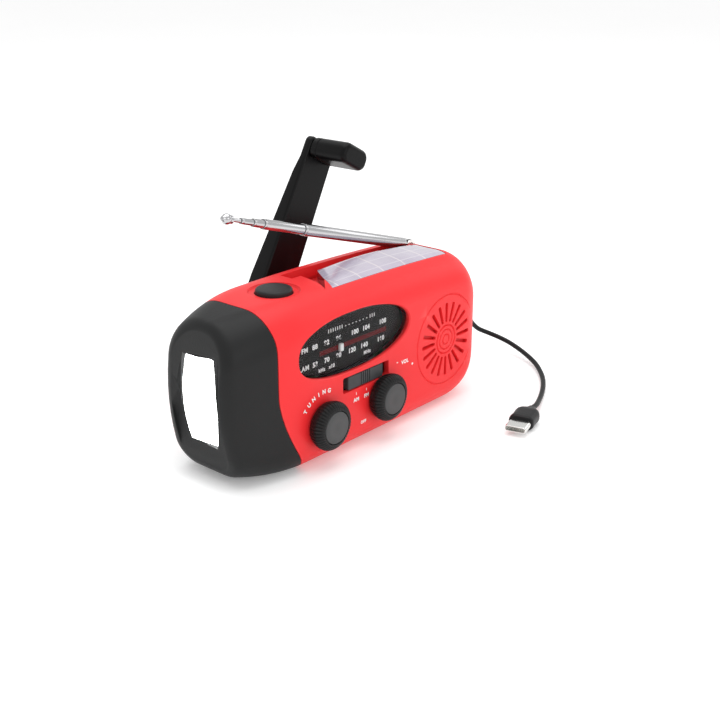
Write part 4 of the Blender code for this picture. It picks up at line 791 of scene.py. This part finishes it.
panel_film = panel_cells("panel_film")
panel_low = case_section(49)[2] - 1.6


def panel_left(t):
    """The panel's curved left end: t runs from its rear edge to its front edge."""
    return -12.0 + 5 * (1 - t) ** 2 - 3.2 * t * t


def domed_cover(name, across=16, lengthways=44):
    """A strip with a curved left end. Its top rises to the middle of the rear edge."""
    top, low = [], []
    for i in range(lengthways + 1):
        for j in range(across + 1):
            t = j / across
            x = panel_left(t) + (49.0 - panel_left(t)) * i / lengthways
            y = 1.8 - 14.8 * t
            share = (x + 15.2) / 64.2
            arch = 2.1 * math.sin(math.pi * max(0.0, min(1.0, share))) ** 0.8 * (1 - t) ** 1.1
            rim = min(1.0, 5 * min(t, 1 - t, i / lengthways * 3, 3 - i / lengthways * 3) + 0.55)
            top.append((x * MM, y * MM, (surface_height(x, y) - 0.1 + arch * rim - 0.15 * (1 - rim)) * MM))
            low.append((x * MM, y * MM, panel_low * MM))
    row = across + 1
    faces = []
    for i in range(lengthways):
        for j in range(across):
            a = i * row + j
            faces.append((a, a + 1, a + row + 1, a + row))
            faces.append(tuple(len(top) + v for v in (a, a + row, a + row + 1, a + 1)))
    border = [j for j in range(row)] + [i * row + across for i in range(1, lengthways + 1)]
    border += [lengthways * row + j for j in range(across - 1, -1, -1)]
    border += [i * row for i in range(lengthways - 1, 0, -1)]
    for p, q in zip(border, border[1:] + border[:1]):
        faces.append((p, len(top) + p, len(top) + q, q))
    drawing = bmesh.new()
    corners = [drawing.verts.new(point) for point in top + low]
    for face in faces:
        drawing.faces.new([corners[v] for v in face])
    return mesh_of(name, drawing)


def surface_height(x, y):
    """Height of the casing's outside over a point of its top, from its section there."""
    upper = sorted((v[1], v[2]) for v in case_ring(x, 0.0, 0.0) if v[2] > 40 * MM)
    for (y0, z0), (y1, z1) in zip(upper, upper[1:]):
        if y0 <= y * MM <= y1 and y1 > y0:
            return (z0 + (z1 - z0) * (y * MM - y0) / (y1 - y0)) / MM
    return upper[-1][1] / MM


panel = link("panel", domed_cover("panel"), "casing", "solar_cell", panel_film, "solar_panel")
steady_shading(panel)


# ---------------------------------------------------------------- antenna
# Five drawn brass tubes, chrome plated, each sliding in the last, with a turned ball tip. The root
# is flattened between the ears of a small steel bracket in the channel and swings on a pin.

chrome = plated_steel("chrome", (0.50, 0.50, 0.51), 0.14, (0.05, 1.0, 1.0), 900.0)
LIFT = math.radians(16.35)
PIVOT = Vector((0.048, 0.0055, 0.058))
along = Vector((-math.cos(LIFT), 0, math.sin(LIFT)))
lean = along.to_track_quat("Z", "Y").to_matrix()


def tube_mesh(name, profile, sides=40):
    """A body turned round the antenna's own line, its heights measured from the hinge pin."""
    rings = [[PIVOT + lean @ point for point in round_ring(radius, height, sides)] for radius,
             height in profile]
    return ring_body(name, rings)


def drawn_tube(name, radius, start, end):
    """A tube with a rolled-in mouth where the next one leaves it."""
    bore = radius - 0.25
    outside = [(bore, start), (radius - 0.05, start), (radius, start + 0.2)]
    rolled = [(radius, end - 1.4), (radius - 0.07, end - 1.2), (radius - 0.07, end - 1.0), (radius, end - 0.8)]
    mouth = [(radius, end - 0.25), (radius - 0.08, end), (bore, end), (bore, start + 0.1)]
    return tube_mesh(name, outside + rolled + mouth)


shown = (20.0, 4.8, 5.5, 3.6)
bodies = ("antenna_root", "antenna_section_2", "antenna_section_3", "antenna_section_4")
end, radius = 61.0, 2.2
for k, body in enumerate(bodies):
    if k:
        end += shown[k - 1]
    start = 2.6 if k == 0 else end - 61.0 + 6.0 + 1.1 * k
    mesh = drawn_tube(f"antenna_{k + 1}", radius, start, end)
    if k == 0:
        tongue = arc(0, 0, 2.1, -90, 90, 15) + [(-4.5, 1.5), (-4.5, -1.5)]
        tilt = Matrix.Rotation(LIFT, 3, "Y")
        slices = [[PIVOT + tilt @ Vector((u * MM, d * MM, v * MM)) for u, v in tongue]
                  for d in (-1.6, -1.45, 1.45, 1.6)]
        mesh = carved("antenna_1", mesh, ("UNION", ring_body("tongue", slices, smooth=False)))
    link(f"antenna_{k + 1}", mesh, body, "chrome", chrome, f"antenna_tube_{k + 1}")
    radius -= 0.37
end += shown[3]
tip_profile = [(0, end - 50.0), (radius, end - 50.0), (radius, end), (1.0, end + 0.05), (1.5, end + 0.6)] + \
    arc(0.35, end + 2.7, 1.55, -45, 60, 8) + [(0.8, end + 4.75), (0, end + 4.95)]
link("antenna_ball_tip", tube_mesh("antenna_ball_tip", tip_profile), "antenna_tip", "chrome", chrome,
     "antenna_rod")
dress(contact_steel, "antenna_bracket", "antenna_pin")


# ---------------------------------------------------------------- tuning dial
# A gloss clear window over a black plate with two printed scales. A white pointer runs along a
# dark red line between them, drawn along by the tuning capacitor.

def printed_plate(name):
    """Black gloss ink with a dark red line across it and a faint pattern of the print's screen."""
    material, shader, node, join = new_material(name)
    where = node("ShaderNodeTexCoord").outputs["Object"]
    split = node("ShaderNodeSeparateXYZ", Vector=where)
    cloud = node("ShaderNodeTexNoise", {"Scale": 420.0, "Detail": 4.0}, Vector=where)

    def near(axis, middle, half):
        offset = reckon(node, "SUBTRACT", split.outputs[axis], middle)
        size = reckon(node, "ABSOLUTE", offset.outputs["Value"])
        less = reckon(node, "LESS_THAN", size.outputs["Value"], half)
        return less

    line, reach = near("Z", 0.0394, 0.00085), near("X", -0.0105, 0.0175)
    both = reckon(node, "MULTIPLY", line.outputs["Value"], reach.outputs["Value"])
    ink = blend(node, cloud.outputs["Fac"], (0.006, 0.006, 0.006), (0.012, 0.011, 0.011))
    tone = blend(node, both.outputs["Value"], ink.outputs["Result"], (0.11, 0.006, 0.008))
    join(tone.outputs["Result"], "Base Color")
    vary_gloss(node, join, cloud.outputs["Fac"], 0.25, 0.38)
    shader.inputs["Specular IOR Level"].default_value = 0.1
    return material


def window_glaze(name):
    """Thin clear plastic: a light surface gloss over what lies behind it, with faint moulding flow."""
    material, shader, node, join = new_material(name)
    where = node("ShaderNodeTexCoord").outputs["Object"]
    flow = node("ShaderNodeTexNoise", {"Scale": 60.0, "Distortion": 1.5}, Vector=where)
    vary_gloss(node, join, flow.outputs["Fac"], 0.03, 0.09)
    roughen(node, join, flow.outputs["Fac"], 0.15, 0.0001)
    shader.inputs["Base Color"].default_value = (0.93, 0.94, 0.95, 1.0)
    shader.inputs["Transmission Weight"].default_value = 1.0
    shader.inputs["IOR"].default_value = 1.09
    return material


dial_glaze = window_glaze("dial_glaze")
dial_ink = printed_plate("dial_ink")
plate_mesh = bar("dial_back_plate", dial_shape(-0.3), -18.3, -17.3)
link("dial_back_plate", plate_mesh, "casing", "black_plastic", dial_ink, "dial_plate")
cover_mesh = stack("dial_cover", [(depth, dial_shape(grow)) for depth, grow in
                                  ((-20.9, -0.55), (-20.65, -0.3), (-19.9, -0.3))])
window = link("dial_cover", cover_mesh, "casing", "clear_plastic", dial_glaze, "dial_window")
steady_shading(window)
white_paint, shader, node, join = new_material("white_paint")
where = node("ShaderNodeTexCoord").outputs["Object"]
chalk = node("ShaderNodeTexNoise", {"Scale": 700.0, "Detail": 3.0}, Vector=where)
tone = blend(node, chalk.outputs["Fac"], (0.78, 0.78, 0.77), (0.90, 0.90, 0.89))
join(tone.outputs["Result"], "Base Color")
shader.inputs["Roughness"].default_value = 0.5
dress(white_paint, "dial_pointer")


def print_text(name, words, height, x, z, depth, face, body="casing", turn=0.0):
    """Raised ink lettering on a front-facing surface, its height in millimetres."""
    line = bpy.data.curves.new(name, "FONT")
    line.body = words
    line.align_x = "CENTER"
    line.align_y = "CENTER"
    line.size = height * 1.4 * MM
    line.extrude = depth * MM / 2
    line.space_character = 1.12
    line.offset = 0.05 * height * MM
    rough = added(name + "_line", line)
    bpy.context.view_layer.update()
    mesh = bpy.data.meshes.new_from_object(rough)
    bpy.data.objects.remove(rough)
    mesh.name = name
    upright = Matrix.Rotation(turn, 4, "Y") @ Matrix.Rotation(math.pi / 2, 4, "X")
    mesh.transform(Matrix.Translation((x * MM, face * MM, z * MM)) @ upright)
    mesh.materials.clear()
    mesh.materials.append(white_paint)
    piece = added(name, mesh)
    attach(piece, body)
    return piece


PLATE_FACE = -18.33
fm_marks = ((-35.2, "FM"), (-30.2, "88"), (-24.4, "92"), (-18.4, "96"), (-10, "100"), (-4, "104"), (5, "108"))
am_marks = ((-35.0, "AM"), (-30.2, "53"), (-24.4, "70"), (-18.4, "90"), (-11.5, "120"), (-5, "140"),
            (4, "160"))
for band, z, marks in (("fm", 42.6, fm_marks), ("am", 36.3, am_marks)):
    for x, words in marks:
        print_text(f"{band}_{words}", words, 1.7, x, z, 0.05, PLATE_FACE)
print_text("tick_row", "I I I I I I I  -  -  -  -  -  -  -  I I I", 1.25, -11.5, 46.3, 0.05, PLATE_FACE)
for x, words in ((-27, "kHz"), (-22, "x10"), (-3.4, "MHz")):
    print_text("unit_" + words, words, 1.3, x, 33.4, 0.05, PLATE_FACE)


# ---------------------------------------------------------------- tuning and volume knobs
# Two moulded wheels with a finely ribbed bevel. A grey disc is pressed into the middle of each, and
# each one turns a shaft: the tuning knob with the capacitor, the volume knob with its switch.

def knob_mesh(name, x, z, ribs=44):
    """A wheel: narrow behind, widest in the middle, with ribs over its rim and its front bevel."""
    middle = Vector((x * MM, 0, z * MM))
    hub = ((2.9, -17.6, 0), (2.9, -21.9, 0), (3.4, -22.15, 0), (7.5, -22.15, 0), (8.0, -22.5, 0))
    rim = ((8.45, -23.6, 0.4), (8.72, -24.6, 1), (8.75, -25.6, 1), (8.5, -26.3, 1), (7.9, -27.0, 1))
    front = ((7.1, -27.6, 0.8), (6.5, -27.8, 0.3), (6.05, -27.8, 0), (6.0, -26.6, 0), (0.02, -26.6, 0))
    rings = []
    count = ribs * 6
    for radius, y, amount in hub + rim + front:
        ring = []
        for k in range(count):
            angle = 2 * math.pi * k / count
            cut = 0.30 * amount * max(0.0, math.cos(ribs * angle)) ** 0.7
            r = (radius - cut) * MM
            ring.append(middle + Vector((r * math.cos(angle), (y + cut * 0.5) * MM, r * math.sin(angle))))
        rings.append(ring)
    return ring_body(name, rings)


def disc_mesh(name, x, z):
    profile = ((0, -26.7), (5.6, -26.7), (5.75, -26.85), (5.75, -27.7), (5.6, -27.9), (5.2, -27.98),
               (3, -28.0), (0, -28.0))
    return turned_mesh(name, profile, (x, 0, z), "Y")


knob_plastic = dark_plastic("knob_plastic", (0.007, 0.007, 0.0073), 0.42, 1800.0, 0.00003, 0.3)
disc_grey = dark_plastic("disc_grey", (0.060, 0.061, 0.062), 0.5, 2400.0, 0.00003, 0.2)
for side, (x, z) in KNOBS.items():
    body = f"{side}_knob"
    link(f"{side}_wheel", knob_mesh(f"{side}_wheel", x, z), body, "charcoal_plastic", knob_plastic, body)
    link(f"{side}_disc", disc_mesh(f"{side}_disc", x, z), body, "grey_plastic", disc_grey, f"{body}_cap")


# ---------------------------------------------------------------- band switch and printed marks
# A ribbed slide sits deep in its slot and moves the band switch on the board. White screen-printed
# marks show which way each control works.

slide_grey = dark_plastic("slide_grey", (0.045, 0.046, 0.048), 0.45, 2000.0, 0.00003, 0.3)
slide_grips = []
for k in range(5):
    left = SWITCH_X - 2.7 + k * 1.1
    slide_grips.append(("DIFFERENCE", block(f"grip_{k}", (left, -22.5, 22), (left + 0.45, -21.25, 30))))
slide_layers = [(depth, shifted(stadium(18.6 - inset, 5.0 - inset, 0.6), SWITCH_X, SWITCH_Z))
                for depth, inset in ((-21.6, 0.5), (-21.35, 0.0), (-19.0, 0.0))]
foot_low, foot_high = (SWITCH_X - 2.0, -19.4, SWITCH_Z - 1.2), (SWITCH_X + 2.0, -17.2, SWITCH_Z + 1.2)
slide_mesh = carved("band_slide", stack("band_slide", slide_layers), *slide_grips,
                    ("UNION", block("slide_foot", foot_low, foot_high)))
link("band_slide", slide_mesh, "band_slider", "grey_plastic", slide_grey, "band_slider")
dress(slide_grey, "band_switch")
CASE_FACE = -21.83
centre_x, centre_z = KNOBS["tuning"]
for k, letter in enumerate("TUNING"):
    swing = math.radians(-52 + k * 13)
    x, z = centre_x + 11.6 * math.sin(swing), centre_z + 11.6 * math.cos(swing)
    print_text(f"tuning_{k}", letter, 1.5, x, z, 0.05, CASE_FACE, turn=swing)
for x, words in ((-13.0, "AM"), (-7.6, "FM"), (-2.4, "WB")):
    print_text("band_" + words, words, 1.35, x, 18.9, 0.05, CASE_FACE)
    print_text("band_line_" + words, "I", 0.9, x, 21.2, 0.05, CASE_FACE)
for x, z, words, size in ((14.0, 25.4, "VOL", 1.4), (9.6, 26.4, "-", 1.6), (18.4, 23.2, "+", 1.4),
                          (-9.2, 9.2, "OFF", 1.1)):
    print_text("mark_" + str(x), words, size, x, z, 0.05, CASE_FACE)


# ---------------------------------------------------------------- crank
# A moulded black hub on a steel shaft carries the folding arm between its ears on a pin. The grip is
# a rounded bar that spins on a second pin riveted to the arm's thin end.

CRANK_TURN = Matrix.Translation((-0.0108, 0, 0.032)) @ Matrix.Rotation(math.radians(27.9), 4, "Y")
crank_black = dark_plastic("crank_black", (0.0025, 0.0025, 0.0027), 0.33, 1600.0, 0.00003, 0.35, 0.13)


def along_crank(mesh):
    mesh.transform(CRANK_TURN)
    return mesh


hub_profile = ((0, 14.8), (2.98, 14.8), (2.98, 22.3), (9.6, 22.3), (10.9, 22.5), (11.0, 23.2), (11.0, 25.2),
               (10.8, 25.8), (10.2, 26.1), (8.2, 26.1), (7.9, 25.8), (0, 25.8))
hub_mesh = turned_mesh("crank_boss", hub_profile[::-1], (0, 0, 0), "Y")
lug_end = [(math.sin(math.radians(k * 15)), math.cos(math.radians(k * 15))) for k in range(1, 12)]
lug = [(23.5, 2.7), (30.0, 2.7)] + [(30 + 3.3 * s, 6 - 3.3 * c) for s, c in lug_end]
lug += [(30.0, 9.3), (23.5, 9.3)]
hub_mesh = carved("crank_boss", hub_mesh, ("UNION", bar("lug", lug, -3.5, 3.5, "YZ")),
                  ("DIFFERENCE", bar("lug_hole", circle(30, 6, 1.6, 24), -9, 9, "YZ")))
link("crank_boss", along_crank(hub_mesh), "crank_hub", "black_plastic", crank_black, "crank_hub")
arm_side = [(33.5, 20.0), (30.3, 60.9), (29.1, 66.9), (29.1, 76.5), (26.5, 76.5)] + \
    [(30 - 3.5 * math.cos(math.radians(k * 15)), 6 - 3.5 * math.sin(math.radians(k * 15))) for k in range(13)]


def arm_face(inset):
    """The arm seen along the shaft: wide at the fork, narrower and round-cornered at the grip."""
    corner = []
    for k in range(1, 6):
        angle = math.radians(k * 15)
        corner.append((5.0 + (2.5 - inset) * math.cos(angle), 72.7 + (2.6 - inset) * math.sin(angle)))
    fork = [(8.8 - inset, 6.0), (7.2 - inset, 2.5 + inset), (-7.2 + inset, 2.5 + inset), (-8.8 + inset, 6.0)]
    return fork + [(-7.5 + inset, 72.3)] + [(-u, v) for u, v in corner] + corner[::-1] + [(7.5 - inset, 72.3)]


arm_layers = [(depth, arm_face(inset))
              for depth, inset in ((26.5, 0.8), (26.9, 0.25), (27.4, 0.0), (33.6, 0.0))]
arm_mesh = carved("folding_arm", stack("folding_arm", arm_layers),
                  ("INTERSECT", bar("arm_side", arm_side, -20, 20, "YZ")),
                  ("DIFFERENCE", block("fork", (-3.8, 20, -5), (3.8, 40, 10.0))),
                  ("DIFFERENCE", bar("fold_hole", circle(30, 6, 1.6, 24), -12, 12, "YZ")),
                  ("DIFFERENCE", block("arm_hollow", (-5.6, 30.6, 16), (5.6, 36, 52))))
arm = link("folding_arm", along_crank(arm_mesh), "crank_arm", "black_plastic", crank_black, "crank_arm")


GRIP_Z = 71.3


def grip_outline(inset):
    """The grip's section: flat underneath, crowned on top, with round corners."""
    section = stadium(14.2 - 2 * inset, 7.5 - 2 * inset, 3.0 - inset * 0.8, 8)
    return [(u, GRIP_Z + v + (0.5 * (1 - (u / 7.1) ** 2) if v > 0 else 0.0)) for u, v in section]


grip_layers = ((9.2, 1.6), (9.35, 1.05), (9.8, 0.5), (10.5, 0.12), (11.3, 0.0), (22.9, 0.0), (23.1, 0.22),
               (23.4, 0.22), (23.6, 0.0), (25.7, 0.0), (26.2, 0.5))
grip_bar = stack("crank_handle", [(depth, grip_outline(inset)) for depth, inset in grip_layers])
grip_mesh = carved("crank_handle", grip_bar, ("DIFFERENCE", bar("grip_bore", circle(0, GRIP_Z, 1.9, 24), 13.9, 30)))
grip = link("crank_handle", along_crank(grip_mesh), "crank_grip", "black_plastic", crank_black, "crank_grip")
for piece in (arm, grip):
    steady_shading(piece)
dress(contact_steel, "fold_pin", "grip_pin")


# ---------------------------------------------------------------- loudspeaker and works
# Inside: a small loudspeaker, the main board with its parts, the cell, the aerial and the gears that
# turn the dynamo from the crank.

def wound_copper(name):
    """Enamelled copper wire: fine turns side by side, a little uneven in colour."""
    material, shader, node, join = new_material(name)
    where = node("ShaderNodeTexCoord").outputs["Object"]
    turns = node("ShaderNodeTexWave", {"Scale": 900.0, "Distortion": 0.3}, Vector=where)
    tone = blend(node, turns.outputs["Fac"], (0.33, 0.12, 0.04), (0.62, 0.27, 0.10))
    join(tone.outputs["Result"], "Base Color")
    roughen(node, join, turns.outputs["Fac"], 0.6, 0.00005)
    shader.inputs["Metallic"].default_value = 0.9
    shader.inputs["Roughness"].default_value = 0.3
    return material


def mottled(name, low, high, scale, roughness, depth):
    """A matt material with a broken-up tone and a slight tooth."""
    material, shader, node, join = new_material(name)
    where = node("ShaderNodeTexCoord").outputs["Object"]
    cloud = node("ShaderNodeTexNoise", {"Scale": scale, "Detail": 6.0}, Vector=where)
    tone = blend(node, cloud.outputs["Fac"], low, high)
    join(tone.outputs["Result"], "Base Color")
    roughen(node, join, cloud.outputs["Fac"], 0.5, depth)
    shader.inputs["Roughness"].default_value = roughness
    return material


dress(mottled("cone_paper", (0.10, 0.012, 0.012), (0.20, 0.02, 0.02), 900.0, 0.9, 0.0001), "speaker_cone")
dress(mottled("ferrite", (0.02, 0.02, 0.02), (0.05, 0.045, 0.04), 500.0, 0.6, 0.00008), "ferrite_rod",
      "speaker_magnet")
dress(mottled("cell_wrap", (0.02, 0.10, 0.32), (0.03, 0.14, 0.42), 120.0, 0.3, 0.00003), "battery_cell")
gear_resin = mottled("gear_resin", (0.66, 0.63, 0.54), (0.80, 0.77, 0.68), 300.0, 0.45, 0.00003)
dress(gear_resin, "crank_gear", "idler_gear", "tuning_capacitor")
dress(wound_copper("coil_wire"), "aerial_coil")
dress(contact_steel, "speaker_frame", "volume_pot", "usb_socket", "charge_socket", "idler_axle",
      "dynamo_case", "dynamo_rotor")


# ---------------------------------------------------------------- case screws
# Four plated self-tapping screws join the shells from behind, each with a cross cut in its head.

SCREW_PROFILE = ((0, 2.2), (0.6, 2.4), (1.2, 3.4), (1.2, 17.0), (2.4, 17.0), (2.4, 17.9), (2.0, 18.6),
                 (1.2, 18.95), (0, 19.0))
for k, (x, z) in enumerate(SCREWS):
    shank = turned_mesh(f"screw_{k + 1}", SCREW_PROFILE[::-1], (x, 0, z), "Y", 32)
    cross = [("DIFFERENCE", block("slot", (x - w, 18.1, z - h), (x + w, 20, z + h)))
             for w, h in ((1.3, 0.28), (0.28, 1.3))]
    screw_mesh = carved(f"screw_{k + 1}", shank, *cross)
    screw = link(f"screw_{k + 1}", screw_mesh, "casing", "steel", contact_steel, f"case_screw_{k + 1}")
    steady_shading(screw)
